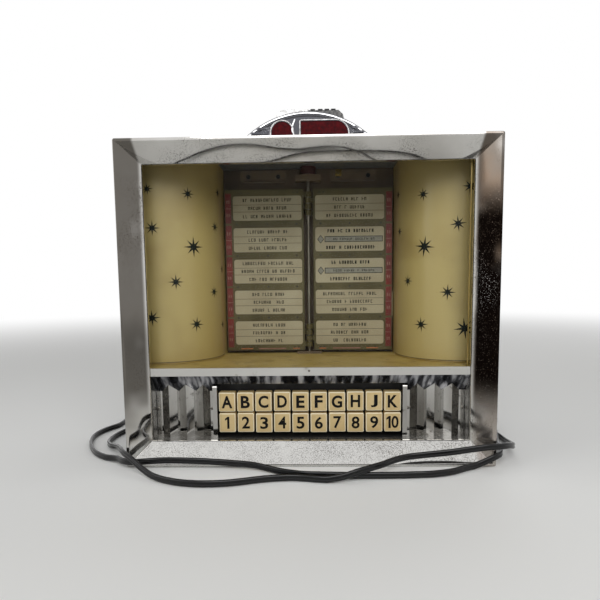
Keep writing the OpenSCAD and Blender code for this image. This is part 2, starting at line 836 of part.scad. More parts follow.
module lamp_bulbs() {
    color("ivory") union() {
        for (side = [-1, 1])
            translate([side * lamp_x, fy(lamp_depth), shelf_top + socket_floor]) {
                cylinder(d = bulb_base_d, h = bulb_base_l);
                translate([0, 0, bulb_base_l])
                    cylinder(d1 = bulb_base_d, d2 = bulb_d, h = bulb_neck_l);
                translate([0, 0, bulb_base_l + bulb_neck_l]) cylinder(d = bulb_d, h = bulb_l);
                translate([0, 0, bulb_base_l + bulb_neck_l + bulb_l]) sphere(d = bulb_d);
            }
    }
}

module transformer() {
    core_w = 44;
    core_t = 30;
    core_h = 46;
    wound = 8;                                      // how far the winding stands out of the core
    foot_l = 12;
    x0 = -(inner_half_w - foot_l - 21.3);
    front = back_in_depth - core_t - wound - 4.8;
    color("#4a4a4a") union() {
        block(x0, x0 + core_w, front, front + core_t, case_wall, case_wall + core_h);
        block(x0 + wound, x0 + core_w - wound, front - wound, front + core_t + wound,
            case_wall + wound, case_wall + core_h - wound);
        block(x0 - foot_l, x0 + core_w + foot_l, front + 6, front + core_t - 6, case_wall,
            case_wall + 2);
    }
}

// ---- Cord ----

relief_depth = 122;
relief_z = 12;
relief_neck_d = 9;
relief_l = 22;
relief_x = frame_w / 2;

module strain_relief() {
    neck = case_wall + 1.2;
    color("#151515") translate([relief_x, fy(relief_depth), relief_z]) rotate([0, 90, 0])
        rotate_extrude() polygon([
            [0, -neck - 2],
            [relief_neck_d / 2 + 1.5, -neck - 2],
            [relief_neck_d / 2 + 1.5, -neck + 1.2 - 0.05],
            [relief_neck_d / 2 - 0.1, -neck + 1.2 - 0.05],
            [relief_neck_d / 2 - 0.1, 0],
            [relief_neck_d / 2 + 2.5, 0],
            [relief_neck_d / 2 + 2.5, 2],
            [relief_neck_d / 2 + 0.5, 3],
            [cord_w / 2 + 0.6, relief_l],
            [0, relief_l]
        ]);
}

// The cord's middle line as x, depth and height: out of the case, across the front low,
// round the left, back across the front and behind the case to the coil
route = [
    [174.5, 122, 12], [178.5, 122, 12], [184.5, 120.4, 12], [188.9, 116, 11.8],
    [190.5, 110, 11.5], [189, 103, 11.2], [179, 79, 10], [176, 67, 8.4], [171.5, 50, 4.6], [168.5, 39, 5],
    [158.5, 7, 10.6], [155, -1, 11], [150, -4, 9.8], [139, -4.8, 5], [132, -6.5, 3],
    [110, -18.5, 3], [95, -22.5, 3], [79, -24, 3], [12, -24, 3], [-6, -22.5, 3], [-20, -18, 3],
    [-48, -6, 4.4], [-62, -4.6, 5.2], [-120, -4.5, 7.6], [-150.5, -3.8, 6.3], [-156.5, 0.5, 5.6],
    [-162, 7, 4.8], [-179, 17.5, 3], [-188, 25, 3], [-200, 41, 3], [-209, 60, 3], [-213, 80, 3],
    [-210, 97, 3], [-203, 112, 3], [-202, 130, 3], [-205, 147, 3], [-202, 163, 3], [-190, 175, 3],
    [-173, 173, 3], [-163, 158, 3], [-165, 140, 3], [-174, 120, 3], [-184, 102, 3], [-190, 86, 3],
    [-192, 69, 3], [-190, 55, 3.4], [-184.5, 44, 4.8], [-169, 23.5, 9.4], [-158.3, 5, 13],
    [-153.5, -2.6, 13.2], [-147, -8.6, 12], [-131, -21, 5.8], [-122.5, -27.5, 4], [-112, -33, 3],
    [-98, -38.5, 3], [-82, -41, 3], [-65, -40, 3], [-31, -31, 3], [-14, -29, 3], [13, -33, 3],
    [25, -33, 5], [37, -30.5, 8], [47, -26, 9.2], [58, -18.5, 9.4], [68, -9.5, 9.4],
    [78, -3.5, 9.5], [92, -1.8, 10.6], [110, -1.8, 12.4], [148, -4, 18.2], [156, -2.2, 18],
    [163, 3, 17], [169, 10, 14.5], [173.5, 19, 11.5], [180, 43, 5.4], [181.5, 57, 3.2],
    [181, 72, 3], [168, 114, 3], [166, 133, 3], [157, 148, 3], [142, 155, 3], [122, 155, 3]
];
route_len = len_of(route);
function len_of(p) = len(p) < 2 ? 0 : sum_to(p, len(p) - 1);
function sum_to(p, i) = i == 0 ? 0 : norm(p[i] - p[i - 1]) + sum_to(p, i - 1);

// A flat section of eight corners, carried upright along the route
function section() = [
    [cord_t / 2, cord_w / 4], [cord_t / 4, cord_w / 2], [-cord_t / 4, cord_w / 2],
    [-cord_t / 2, cord_w / 4], [-cord_t / 2, -cord_w / 4], [-cord_t / 4, -cord_w / 2],
    [cord_t / 4, -cord_w / 2], [cord_t / 2, -cord_w / 4]
];
function unit(v) = v / norm(v);
function heading(p, i) = unit(p[min(i + 1, len(p) - 1)] - p[max(i - 1, 0)]);
function across(p, i) = unit(cross([0, 0, 1], heading(p, i)));
function upward(p, i) = cross(heading(p, i), across(p, i));

module swept(p, shape) {
    n = len(shape);
    rings = [for (i = [0 : len(p) - 1], s = shape)
        [p[i][0], fy(p[i][1]), p[i][2]] + s[0] * across(p, i) + s[1] * upward(p, i)];
    sides = [for (i = [0 : len(p) - 2], k = [0 : n - 1])
        each [
            [i * n + k, i * n + (k + 1) % n, (i + 1) * n + (k + 1) % n],
            [i * n + k, (i + 1) * n + (k + 1) % n, (i + 1) * n + k]
        ]];
    ends = [for (k = [1 : n - 2])
        each [
            [0, k + 1, k],
            [(len(p) - 1) * n, (len(p) - 1) * n + k, (len(p) - 1) * n + k + 1]
        ]];
    polyhedron(points = rings, faces = concat(sides, ends));
}

module cord() {
    color("#141414") swept(route, section());
}

// The coil winds in on the ground and out again on top, as angle, radius and height
COIL_STEPS = 24;
coil_start = route[len(route) - 1];
coil_low_z = coil_start[2];
coil_high_z = coil_low_z + cord_w + 0.8;
coil_step = 2 * cord_t;                             // radial step from turn to turn
coil_middle = 360 * coil_turns / 2;
coil_rise = 90;                                     // half of the climb, in degrees
coil_in_r = coil_d / 2 - coil_step * coil_turns / 8;
coil_tail = 34;
function coil_r(a) = coil_in_r + coil_step * max(0, abs(a - coil_middle) - coil_rise) / 360;
function coil_z(a) = coil_low_z + (coil_high_z - coil_low_z)
    * (0.5 - 0.5 * cos(180 * min(1, max(0, (a - coil_middle + coil_rise) / (2 * coil_rise)))));
coil_lead = 6;                                      // straight piece at the coil's start
coil_line = concat(
    [coil_start],
    [for (i = [0 : COIL_STEPS * coil_turns]) let (a = i * 360 / COIL_STEPS)
        [coil_start[0] - coil_lead - coil_r(a) * sin(a),
            coil_start[1] + coil_r(0) - coil_r(a) * cos(a), coil_z(a)]],
    [[coil_start[0] - coil_lead - coil_tail / 2, coil_start[1], coil_high_z],
        [coil_start[0] - coil_lead - coil_tail, coil_start[1], coil_high_z]]
);
coil_gap = min([for (i = [0 : len(coil_line) - 1]) for (j = [i + COIL_STEPS / 2 : len(coil_line) - 1])
    let (v = coil_line[j] - coil_line[i])
    max(norm([v[0], v[1]]) - cord_t, abs(v[2]) - cord_w)]);
echo(coil_gap = coil_gap, cord_length = route_len + len_of(coil_line));

function coil_section() = [
    [cord_t / 2, 0], [cord_t / 4, cord_w / 2], [-cord_t / 4, cord_w / 2],
    [-cord_t / 2, 0], [-cord_t / 4, -cord_w / 2], [cord_t / 4, -cord_w / 2]
];

module cord_coil() {
    color("#141414") swept(coil_line, coil_section());
}

plug_w = 26;
plug_t = 2 * coil_high_z - 0.4;
plug_l = 26;
plug_neck_l = 9;
blade_l = 16;
blade_w = 6.3;
blade_t = 1.5;
blade_pitch = 12.7;

module plug() {
    end = coil_line[len(coil_line) - 1];
    color("#141414") translate([end[0], fy(end[1]), end[2]]) rotate([0, -90, 0]) union() {
        cylinder(d1 = cord_w + 1, d2 = cord_w + 6, h = plug_neck_l + 0.01);
        translate([0, 0, plug_neck_l]) linear_extrude(plug_l) round_rect(plug_t, plug_w, 6);
        for (side = [-1, 1])
            translate([-blade_w / 2, side * blade_pitch / 2 - blade_t / 2, plug_neck_l + plug_l - 0.01])
                cube([blade_w, blade_t, blade_l]);
    }
}

rear_case();
wall_plate();
front_frame();
window_glass();
ledge_strip();
canopy();
shelf();
back_panel();
left_wing_panel();
right_wing_panel();
left_pleated_grille();
right_pleated_grille();
key_cheeks();
spine_hub();
key_frame();
key_springs();
contact_board();
small_screws();
coin_head();
coin_head_lenses();
coin_plate();
coin_chute();
coin_box();
spine_rod();
spine_brackets();
end_pages();
end_page_strips();
left_rear_leaf();
left_front_leaf();
left_leaf_strips();
right_rear_leaf();
right_front_leaf();
right_leaf_strips();
lamp_sockets();
lamp_bulbs();
transformer();
strain_relief();
cord();
cord_coil();
plug();
for (i = [0 : KEYS_IN_ROW - 1]) {
    key(i, letter_row_z);
    key(i, number_row_z);
}
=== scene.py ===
# %% [markdown]
# A jukebox wall box has a chrome window frame round a lit stage of title pages,
# with two rows of push keys under it. The measured solids come in first, as a
# fixed frame, and every piece that is modelled here is fitted to them.

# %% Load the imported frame
import math
import random

import bmesh
import bpy
from mathutils import Matrix, Vector


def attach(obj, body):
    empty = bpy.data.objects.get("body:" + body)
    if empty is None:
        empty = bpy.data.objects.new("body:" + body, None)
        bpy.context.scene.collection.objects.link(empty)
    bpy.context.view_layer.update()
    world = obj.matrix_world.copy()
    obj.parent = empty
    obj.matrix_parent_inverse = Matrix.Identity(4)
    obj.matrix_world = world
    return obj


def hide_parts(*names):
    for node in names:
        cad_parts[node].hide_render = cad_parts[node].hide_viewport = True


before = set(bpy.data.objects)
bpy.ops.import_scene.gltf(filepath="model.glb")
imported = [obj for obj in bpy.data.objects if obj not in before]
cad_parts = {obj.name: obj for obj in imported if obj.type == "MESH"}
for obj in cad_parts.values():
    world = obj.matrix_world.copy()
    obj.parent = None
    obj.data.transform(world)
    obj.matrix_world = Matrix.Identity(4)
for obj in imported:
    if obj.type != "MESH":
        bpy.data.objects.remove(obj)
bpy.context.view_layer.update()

# %% [markdown]
# All drawings of this box give x, the depth behind the front lip and the height,
# in millimetres. One small function turns them into metres, with the middle of
# the box's depth at zero.

# %% Units and places
MM = 0.001
HALF_DEPTH = 70
FRAME_W, FRAME_H = 305, 266


def at(x, depth, z):
    """A place on the drawings as a place in the scene"""
    return Vector((x, depth - HALF_DEPTH, z)) * MM


print("middle of the lip", at(0, 0, FRAME_H / 2))

# %% [markdown]
# The photograph was taken from about 40 cm in front, slightly above the middle
# and looking a little down. The camera's place was worked out from the corners
# of the chrome frame, so it is written here as a fixed position and three turns.

# %% Camera
CAMERA_PLACE = Vector((0.00366, -0.46984, 0.15336))
YAW, PITCH, ROLL = (math.radians(a) for a in (-1.50, 5.637, -0.658))

ahead = Vector((math.sin(YAW) * math.cos(PITCH), math.cos(YAW) * math.cos(PITCH),
                -math.sin(PITCH)))
right = Vector((math.cos(YAW), -math.sin(YAW), 0))
up = right.cross(ahead)
right_rolled = math.cos(ROLL) * right + math.sin(ROLL) * up
up_rolled = -math.sin(ROLL) * right + math.cos(ROLL) * up

lens = bpy.data.cameras.new("camera")
lens.lens = 30
lens.sensor_width = 36
lens.shift_y = 0.05
lens.clip_start = 0.01
camera = bpy.data.objects.new("camera", lens)
turn = Matrix((right_rolled, up_rolled, -ahead)).transposed().to_4x4()
camera.matrix_world = Matrix.Translation(CAMERA_PLACE) @ turn
bpy.context.scene.collection.objects.link(camera)
bpy.context.scene.camera = camera
bpy.context.scene.view_settings.view_transform = "Standard"
print("camera at", tuple(camera.location))

# %% [markdown]
# A few helpers save repeating the same five lines for each piece: colours are
# typed as they look on screen and turned into linear light, and a bmesh becomes
# an object that rides on its body and takes over its plain solid.

# %% Helpers for colours and pieces


def shade(r, g, b):
    """A colour as it looks on screen, 0 to 255, turned into linear light"""
    def one(v):
        v /= 255
        return v / 12.92 if v <= 0.04045 else ((v + 0.055) / 1.055) ** 2.4
    return one(r), one(g), one(b), 1


def piece(bm, name, finishes, body="case", takes=(), crease=35, recalc=True):
    """Turns a finished bmesh into an object that rides on its body"""
    if recalc:
        bmesh.ops.recalc_face_normals(bm, faces=bm.faces)
    mesh = bpy.data.meshes.new(name)
    bm.to_mesh(mesh)
    bm.free()
    for finish in finishes:
        mesh.materials.append(finish)
    mesh.shade_smooth()
    mesh.set_sharp_from_angle(angle=math.radians(crease))
    obj = bpy.data.objects.new(name, mesh)
    bpy.context.scene.collection.objects.link(obj)
    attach(obj, body)
    if takes:
        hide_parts(*takes)
    print(name, len(mesh.polygons), "faces")
    return obj


def made_of(verts):
    """The faces and edges that belong to vertices just made"""
    faces = {f for v in verts for f in v.link_faces}
    edges = {e for v in verts for e in v.link_edges}
    return list(faces), list(edges)


def block(bm, xs, depths, zs, finish=0, bevel=0.0):
    """A box between two values on each axis"""
    low, high = at(xs[0], depths[0], zs[0]), at(xs[1], depths[1], zs[1])
    place = Matrix.Translation((low + high) / 2) @ Matrix.Diagonal((*(high - low), 1))
    verts = bmesh.ops.create_cube(bm, size=1, matrix=place)["verts"]
    faces, edges = made_of(verts)
    for f in faces:
        f.material_index = finish
    if bevel:
        bmesh.ops.bevel(bm, geom=edges, offset=bevel * MM, affect="EDGES", segments=2,
                        profile=0.5, material=-1)


def post(bm, x, depths, z, r, finish=0, segments=24, bevel=0.0):
    """A round bar along the depth"""
    middle = at(x, sum(depths) / 2, z)
    place = Matrix.Translation(middle) @ Matrix.Rotation(math.radians(-90), 4, "X")
    verts = bmesh.ops.create_cone(bm, cap_ends=True, segments=segments, radius1=r * MM,
                                  radius2=r * MM, depth=(depths[1] - depths[0]) * MM,
                                  matrix=place)["verts"]
    faces, edges = made_of(verts)
    for f in faces:
        f.material_index = finish
    if bevel:
        front = [e for e in edges if all(v.co.y < middle.y for v in e.verts)]
        bmesh.ops.bevel(bm, geom=front, offset=bevel * MM, affect="EDGES", segments=3,
                        profile=0.5, material=-1)


def flat_round(bm, x, depth, z, w, h, r, finish=0):
    """One flat face with round corners that looks to the front"""
    place = (Matrix.Translation(at(x, depth, z)) @ Matrix.Rotation(math.radians(90), 4, "X")
             @ Matrix.Diagonal((w * MM, h * MM, 1, 1)))
    verts = bmesh.ops.create_grid(bm, x_segments=1, y_segments=1, size=0.5, matrix=place)["verts"]
    face = verts[0].link_faces[0]
    if r:
        corners = bmesh.ops.bevel(bm, geom=list(face.verts), offset=r * MM, affect="VERTICES",
                                  segments=4, profile=0.5, material=-1)
        face = max(corners["verts"][0].link_faces, key=lambda f: f.calc_area())
    face.material_index = finish
    return face


def thicken(bm, face, depths):
    """Gives a flat face the thickness between two depths"""
    grown = bmesh.ops.extrude_face_region(bm, geom=[face], use_keep_orig=True)["geom"]
    fresh = [v for v in grown if isinstance(v, bmesh.types.BMVert)]
    bmesh.ops.translate(bm, vec=(0, (depths[1] - depths[0]) * MM, 0), verts=fresh)


def plate(bm, x, depths, z, w, h, r):
    """A flat plate with round corners"""
    thicken(bm, flat_round(bm, x, depths[0], z, w, h, r), depths)


def sweep(bm, rings, finish=0, closed=False):
    """Joins rings of points, each one a copy of the last moved along, into a skin"""
    loop = [bm.verts.new(p) for p in rings[0]]
    edges = [bm.edges.new((loop[i - 1], loop[i])) for i in range(len(loop))]
    first = edges
    if not closed:
        bm.faces.new(loop).material_index = finish
    for ring in rings[1:]:
        out = bmesh.ops.extrude_edge_only(bm, edges=edges)["geom"]
        edges = [e for e in out if isinstance(e, bmesh.types.BMEdge) and not e.is_manifold
                 and all(v in out for v in e.verts) and len(e.link_faces) == 1]
        fresh = []
        for old in loop:
            step = [e.other_vert(old) for e in old.link_edges if e.other_vert(old) in out]
            fresh.append(step[0])
        for v, p in zip(fresh, ring):
            v.co = p
        for v in fresh:
            for f in v.link_faces:
                f.material_index = finish
        loop = fresh
    if closed:
        bmesh.ops.bridge_loops(bm, edges=edges + first)
    else:
        bm.faces.new(loop).material_index = finish


print("helpers ready")

# %% [markdown]
# Nearly every surface of an old box is one colour broken up by wear. The same
# recipe makes them all: a noise chooses between a few tones, a second one varies
# the gloss, and a third gives a slight relief. Places come from Object
# coordinates, so that the pattern stays on the piece when it moves. A few small
# functions make the nodes that all these finishes share.

# %% Nodes that the finishes share


def between(dark, light):
    """The two tones of a plain finish, with the places of both in its noise"""
    return [(0.3, dark), (0.7, light)]


def noise(nodes, links, vector, scale, detail=4.0):
    """A cloudy pattern"""
    cloud = nodes.new("ShaderNodeTexNoise")
    cloud.inputs["Scale"].default_value = scale
    cloud.inputs["Detail"].default_value = detail
    links.new(vector, cloud.inputs["Vector"])
    return cloud.outputs["Fac"]


def soft_step(nodes, links, value, low, high, top=1.0):
    """A mask that rises softly from 0 to its top while a value goes from low to high"""
    rise = nodes.new("ShaderNodeMapRange")
    rise.interpolation_type = "SMOOTHSTEP"
    rise.inputs["From Min"].default_value = low
    rise.inputs["From Max"].default_value = high
    rise.inputs["To Max"].default_value = top
    links.new(value, rise.inputs["Value"])
    return rise.outputs["Result"]


def joined(nodes, links, kind, a, b):
    """Two masks made into one, by MULTIPLY or by MAXIMUM"""
    both = nodes.new("ShaderNodeMath")
    both.operation = kind
    links.new(a, both.inputs[0])
    links.new(b, both.inputs[1])
    return both.outputs["Value"]


print("shared nodes ready")

# %% A recipe for worn finishes


def worn(name, tones, scale, gloss, metal=0.0, relief=0.0, relief_scale=600,
         stretch=(1, 1, 1), detail=5, coat=0.0, level=None):
    """A finish whose tones, gloss and relief vary over the piece"""
    mat = bpy.data.materials.new(name)
    mat.use_nodes = True
    nodes, links = mat.node_tree.nodes, mat.node_tree.links
    shader = nodes["Principled BSDF"]
    shader.inputs["Metallic"].default_value = metal
    shader.inputs["Coat Weight"].default_value = coat
    if level is not None:
        shader.inputs["Specular IOR Level"].default_value = level
    coords = nodes.new("ShaderNodeTexCoord")
    mapping = nodes.new("ShaderNodeMapping")
    mapping.inputs["Scale"].default_value = stretch
    links.new(coords.outputs["Object"], mapping.inputs["Vector"])
    vector = mapping.outputs["Vector"]

    ramp = nodes.new("ShaderNodeValToRGB")
    ramp.name = "tones"
    while len(ramp.color_ramp.elements) < len(tones):
        ramp.color_ramp.elements.new(0.5)
    for element, (place, colour) in zip(ramp.color_ramp.elements, tones):
        element.position = place
        element.color = shade(*colour)
    links.new(noise(nodes, links, vector, scale, detail), ramp.inputs["Fac"])
    links.new(ramp.outputs["Color"], shader.inputs["Base Color"])

    spread = nodes.new("ShaderNodeMapRange")
    spread.name = "gloss"
    for socket, value in zip(("From Min", "From Max", "To Min", "To Max"), (0.3, 0.7, *gloss)):
        spread.inputs[socket].default_value = value
    links.new(noise(nodes, links, vector, scale * 1.7), spread.inputs["Value"])
    links.new(spread.outputs["Result"], shader.inputs["Roughness"])
    if relief:
        bump = nodes.new("ShaderNodeBump")
        bump.inputs["Distance"].default_value = relief * MM
        links.new(noise(nodes, links, vector, relief_scale, 3), bump.inputs["Height"])
        links.new(bump.outputs["Normal"], shader.inputs["Normal"])
    return mat


def laid_over(nodes, links, socket, factor, kind, new):
    """Mixes a new value over what a shader's socket has already"""
    mix = nodes.new("ShaderNodeMix")
    mix.data_type = kind
    links.new(factor, mix.inputs["Factor"])
    links.new(socket.links[0].from_socket, mix.inputs["A"])
    mix.inputs["B"].default_value = new
    links.new(mix.outputs["Result"], socket)


def overlay(mat, colour, scale, low, high, zones=(), gloss=None, strength=1.0, speck=0.0,
            cover=0.5):
    """Lays a tone over a finish where a noise is high, and only in stretches of the axes"""
    nodes, links = mat.node_tree.nodes, mat.node_tree.links
    shader = nodes["Principled BSDF"]
    vector = next(n for n in nodes if n.type == "TEX_COORD").outputs["Object"]
    factor = soft_step(nodes, links, noise(nodes, links, vector, scale, 3), low, high, strength)
    if speck:
        fine = noise(nodes, links, vector, speck, 2)
        dots = soft_step(nodes, links, fine, cover, cover + 0.06)
        factor = joined(nodes, links, "MULTIPLY", factor, dots)
    for axis, span in zones:
        split = nodes.new("ShaderNodeSeparateXYZ")
        links.new(vector, split.inputs["Vector"])
        stretch = soft_step(nodes, links, split.outputs[axis], *span)
        factor = joined(nodes, links, "MULTIPLY", factor, stretch)
    laid_over(nodes, links, shader.inputs["Base Color"], factor, "RGBA", shade(*colour))
    if gloss is not None:
        laid_over(nodes, links, shader.inputs["Roughness"], factor, "FLOAT", gloss)


def dress(node, finish):
    """Gives a carried-over solid its finish"""
    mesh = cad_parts[node].data
    mesh.materials.clear()
    mesh.materials.append(finish)
    print(node, "wears", finish.name)


print("finish recipe ready")

# %% [markdown]
# The mains cord is flat two-wire lamp cord: two round insulated wires moulded
# side by side. It is drawn as a tube whose section is a figure of eight, carried
# upright along its route. The route repeats the one of the solids: out of the
# case, low across the front, round the left, back across the front, and behind
# the case to a coil of the spare length.

# %% The cord's route
CORD_W, CORD_T, CORD_STEP = 5.4, 2.8, 4.0
ROUTE = [
    (174.5, 122, 12), (178.5, 122, 12), (184.5, 120.4, 12), (188.9, 116, 11.8),
    (190.5, 110, 11.5), (189, 103, 11.2), (179, 79, 10), (176, 67, 8.4), (171.5, 50, 4.6),
    (168.5, 39, 5),
    (158.5, 7, 10.6), (155, -1, 11), (150, -4, 9.8), (139, -4.8, 5), (132, -6.5, 3),
    (110, -18.5, 3), (95, -22.5, 3), (79, -24, 3), (12, -24, 3), (-6, -22.5, 3), (-20, -18, 3),
    (-48, -6, 4.4), (-62, -4.6, 5.2), (-120, -4.5, 7.6), (-150.5, -3.8, 6.3), (-156.5, 0.5, 5.6),
    (-162, 7, 4.8), (-179, 17.5, 3), (-188, 25, 3), (-200, 41, 3), (-209, 60, 3), (-213, 80, 3),
    (-210, 97, 3), (-203, 112, 3), (-202, 130, 3), (-205, 147, 3), (-202, 163, 3), (-190, 175, 3),
    (-173, 173, 3), (-163, 158, 3), (-165, 140, 3), (-174, 120, 3), (-184, 102, 3), (-190, 86, 3),
    (-192, 69, 3), (-190, 55, 3.4), (-184.5, 44, 4.8), (-169, 23.5, 9.4), (-158.3, 5, 13),
    (-153.5, -2.6, 13.2), (-147, -8.6, 12), (-131, -21, 5.8), (-122.5, -27.5, 4), (-112, -33, 3),
    (-98, -38.5, 3), (-82, -41, 3), (-65, -40, 3), (-31, -31, 3), (-14, -29, 3), (13, -33, 3),
    (25, -33, 5), (37, -30.5, 8), (47, -26, 9.2), (58, -18.5, 9.4), (68, -9.5, 9.4),
    (78, -3.5, 9.5), (92, -1.8, 10.6), (110, -1.8, 12.4), (148, -4, 18.2), (156, -2.2, 18),
    (163, 3, 17), (169, 10, 14.5), (173.5, 19, 11.5), (180, 43, 5.4), (181.5, 57, 3.2),
    (181, 72, 3), (168, 114, 3), (166, 133, 3), (157, 148, 3), (142, 155, 3), (122, 155, 3),
]
COIL_R, COIL_TURNS, COIL_LOW, COIL_HIGH = 28.2, 4, 3.0, 9.2


def eased(points):
    """Points closer together along a soft curve through the route's corners"""
    out = []
    low = [min(p[k] for p in points) for k in range(3)]
    high = [max(p[k] for p in points) for k in range(3)]
    for i in range(len(points) - 1):
        a, b, c, d = (Vector(points[min(max(i + k, 0), len(points) - 1)]) for k in (-1, 0, 1, 2))
        before, along, after = ((v.length or 1) for v in (b - a, c - b, d - c))
        leave = ((b - a) / before * along + (c - b) / along * before) / (before + along) * along
        reach = ((c - b) / along * after + (d - c) / after * along) / (along + after) * along
        parts = max(1, round(along / CORD_STEP))
        for j in range(parts):
            t = j / parts
            p = ((2 * t**3 - 3 * t**2 + 1) * b + (t**3 - 2 * t**2 + t) * leave
                 + (3 * t**2 - 2 * t**3) * c + (t**3 - t**2) * reach)
            out.append(Vector(min(max(v, lo), hi) for v, lo, hi in zip(p, low, high)))
    out.append(Vector(points[-1]))
    return out


def coil_point(angle, start):
    """A place on the coil, which winds in on the ground and out again on top"""
    half = 180 * COIL_TURNS
    r = COIL_R + 2 * CORD_T * max(0, abs(angle - half) - 90) / 360
    climb = min(1, max(0, (angle - half + 90) / 180))
    height = COIL_LOW + (COIL_HIGH - COIL_LOW) * (0.5 - 0.5 * math.cos(math.pi * climb))
    outer = COIL_R + 2 * CORD_T * (half - 90) / 360
    a = math.radians(angle)
    return Vector((start[0] - 6 - r * math.sin(a), start[1] + outer - r * math.cos(a), height))


END = ROUTE[-1]
coil = [coil_point(a, END) for a in range(0, 360 * COIL_TURNS + 1, 12)]
tail = [Vector((END[0] - 6 - d, END[1], COIL_HIGH)) for d in (10, 20, 34)]
line = [at(*p) for p in eased(ROUTE) + coil + tail]

# %% Cord skin
LOBE = CORD_W / 2 - CORD_T / 2
lobe_angles = [math.radians(a) for a in range(-40, 221, 26)]
section = [(CORD_T / 2 * math.cos(a), LOBE + CORD_T / 2 * math.sin(a)) for a in lobe_angles]
section += [(-x, -y) for x, y in section]


def rings_along(points, shape):
    """Copies of a section along a line, each one set square to it"""
    rings = []
    for i, p in enumerate(points):
        heading = (points[min(i + 1, len(points) - 1)] - points[max(i - 1, 0)]).normalized()
        across = Vector((0, 0, 1)).cross(heading).normalized()
        upward = heading.cross(across)
        rings.append([p + (x * across + y * upward) * MM for x, y in shape])
    return rings


cord_rubber = worn("cord_rubber", between((5, 5, 6), (12, 12, 13)), 180, (0.14, 0.26),
                   relief=0.01, relief_scale=900, level=0.35)
bm = bmesh.new()
sweep(bm, rings_along(line, section))
cord = piece(bm, "mains_cord", [cord_rubber], takes=("cord", "cord_coil"))

# %% [markdown]
# At its end is an ordinary two-blade plug: a soft moulded body with a ribbed
# neck, and two flat blades.

# %% Plug
PLUG_NECK, PLUG_BODY, BLADE_LENGTH, BLADE_FROM_MIDDLE = 9, 26, 15.6, 6.35
tip = tail[-1]
plug_rubber = worn("plug_rubber", between((14, 14, 15), (30, 30, 32)), 120, (0.32, 0.5),
                   relief=0.03)
blade_brass = worn("blade_brass", [(0.35, (176, 150, 96)), (0.65, (206, 182, 128))], 160,
                   (0.22, 0.4), metal=1.0)


def oval(x, half_depth, half_z, power):
    """A ring of points across the cord's line, between an oval and a rectangle"""
    ring = []
    for i in range(24):
        a = 2 * math.pi * i / 24
        c, s = math.cos(a), math.sin(a)
        ring.append(at(x, tip[1] + half_depth * math.copysign(abs(c) ** (2 / power), c),
                       tip[2] + half_z * math.copysign(abs(s) ** (2 / power), s)))
    return ring


bm = bmesh.new()
neck = [oval(tip[0] - 0.05, 3.2, 3.2, power=2)]
for k in range(4):
    x, grow = tip[0] - 1.2 - 2 * k, 3.3 + 0.6 * k
    neck += [oval(x + 0.7, grow, grow, power=2), oval(x, grow + 0.5, grow + 0.5, power=2),
             oval(x - 0.7, grow, grow, power=2)]
shoulder = tip[0] - PLUG_NECK
body_rings = [(0.2, 6.0, 5.8), (1.4, 9.6, 7.6), (4, 12.2, 8.7), (8, 13, 9), (20, 12.8, 9),
              (24.4, 12.4, 8.8), (25.6, 11.8, 8.2), (26, 10.8, 7.2)]
neck += [oval(shoulder - d, w, t, power=3.2) for d, w, t in body_rings]
sweep(bm, neck)
for side in (-1, 1):
    middle = tip[1] + side * BLADE_FROM_MIDDLE
    block(bm, (shoulder - PLUG_BODY - BLADE_LENGTH, shoulder - PLUG_BODY + 0.3),
          (middle - 0.75, middle + 0.75), (tip[2] - 3.15, tip[2] + 3.15), finish=1, bevel=0.35)
plug = piece(bm, "mains_plug", [plug_rubber, blade_brass], takes=("plug",))

# %% [markdown]
# The cord leaves the case through a rubber sleeve. Rings cut round the sleeve
# let it bend, so its outline is a row of steps, spun round the cord's line.

# %% Strain relief sleeve
RELIEF_X, RELIEF_DEPTH, RELIEF_Z = 152.5, 122, 12
relief_outline = [(-3.9, 0), (-3.9, 5.9), (-1.3, 5.9), (-1.25, 4.35), (0, 4.35), (0, 6.9),
                  (0.6, 7), (1.6, 7), (2.1, 6.6), (2.6, 5.2), (4, 4.9)]
for k in range(5):
    r = 4.9 - 0.32 * k
    x = 5.4 + 3.2 * k
    relief_outline += [(x, r), (x + 0.35, r - 0.8), (x + 1.15, r - 0.9), (x + 1.5, r - 0.25)]
relief_outline += [(21.4, 3.3), (21.9, 2.9), (21.9, 0)]
bm = bmesh.new()
outline = [bm.verts.new(at(RELIEF_X + x, RELIEF_DEPTH, RELIEF_Z + r)) for x, r in relief_outline]
edges = [bm.edges.new(pair) for pair in zip(outline, outline[1:])]
bmesh.ops.spin(bm, geom=outline + edges, cent=at(0, RELIEF_DEPTH, RELIEF_Z), axis=(1, 0, 0),
               angle=2 * math.pi, steps=32, use_merge=True)
bmesh.ops.remove_doubles(bm, verts=bm.verts, dist=0.00001)
relief_rubber = worn("relief_rubber", between((16, 16, 17), (34, 34, 36)), 120, (0.4, 0.55),
                     relief=0.03)
piece(bm, "relief_sleeve", [relief_rubber], takes=("strain_relief",))

# %% [markdown]
# The floor is pale and the backdrop white. The floor fades to white with
# distance, so that no line shows where it ends. Rays from the camera, and rays
# that metal or glass sends on, see that white, while the light that falls on the
# box from the backdrop stays at a plain grey level.

# %% Floor and backdrop
FLOOR_R, FADE_FROM, FADE_TO = 8, 0.5, 2.2
WHITE = (1, 1, 1, 1)


def white_seen(nodes, links):
    """1 for rays of the camera, off metal and through glass, and 0 for all others"""
    ray = nodes.new("ShaderNodeLightPath")
    seen = ray.outputs["Is Camera Ray"]
    for kind in ("Is Glossy Ray", "Is Transmission Ray"):
        seen = joined(nodes, links, "MAXIMUM", seen, ray.outputs[kind])
    return seen


bm = bmesh.new()
bmesh.ops.create_circle(bm, cap_ends=True, segments=64, radius=FLOOR_R)
mesh = bpy.data.meshes.new("floor")
bm.to_mesh(mesh)
bm.free()
floor = bpy.data.objects.new("floor", mesh)
bpy.context.scene.collection.objects.link(floor)

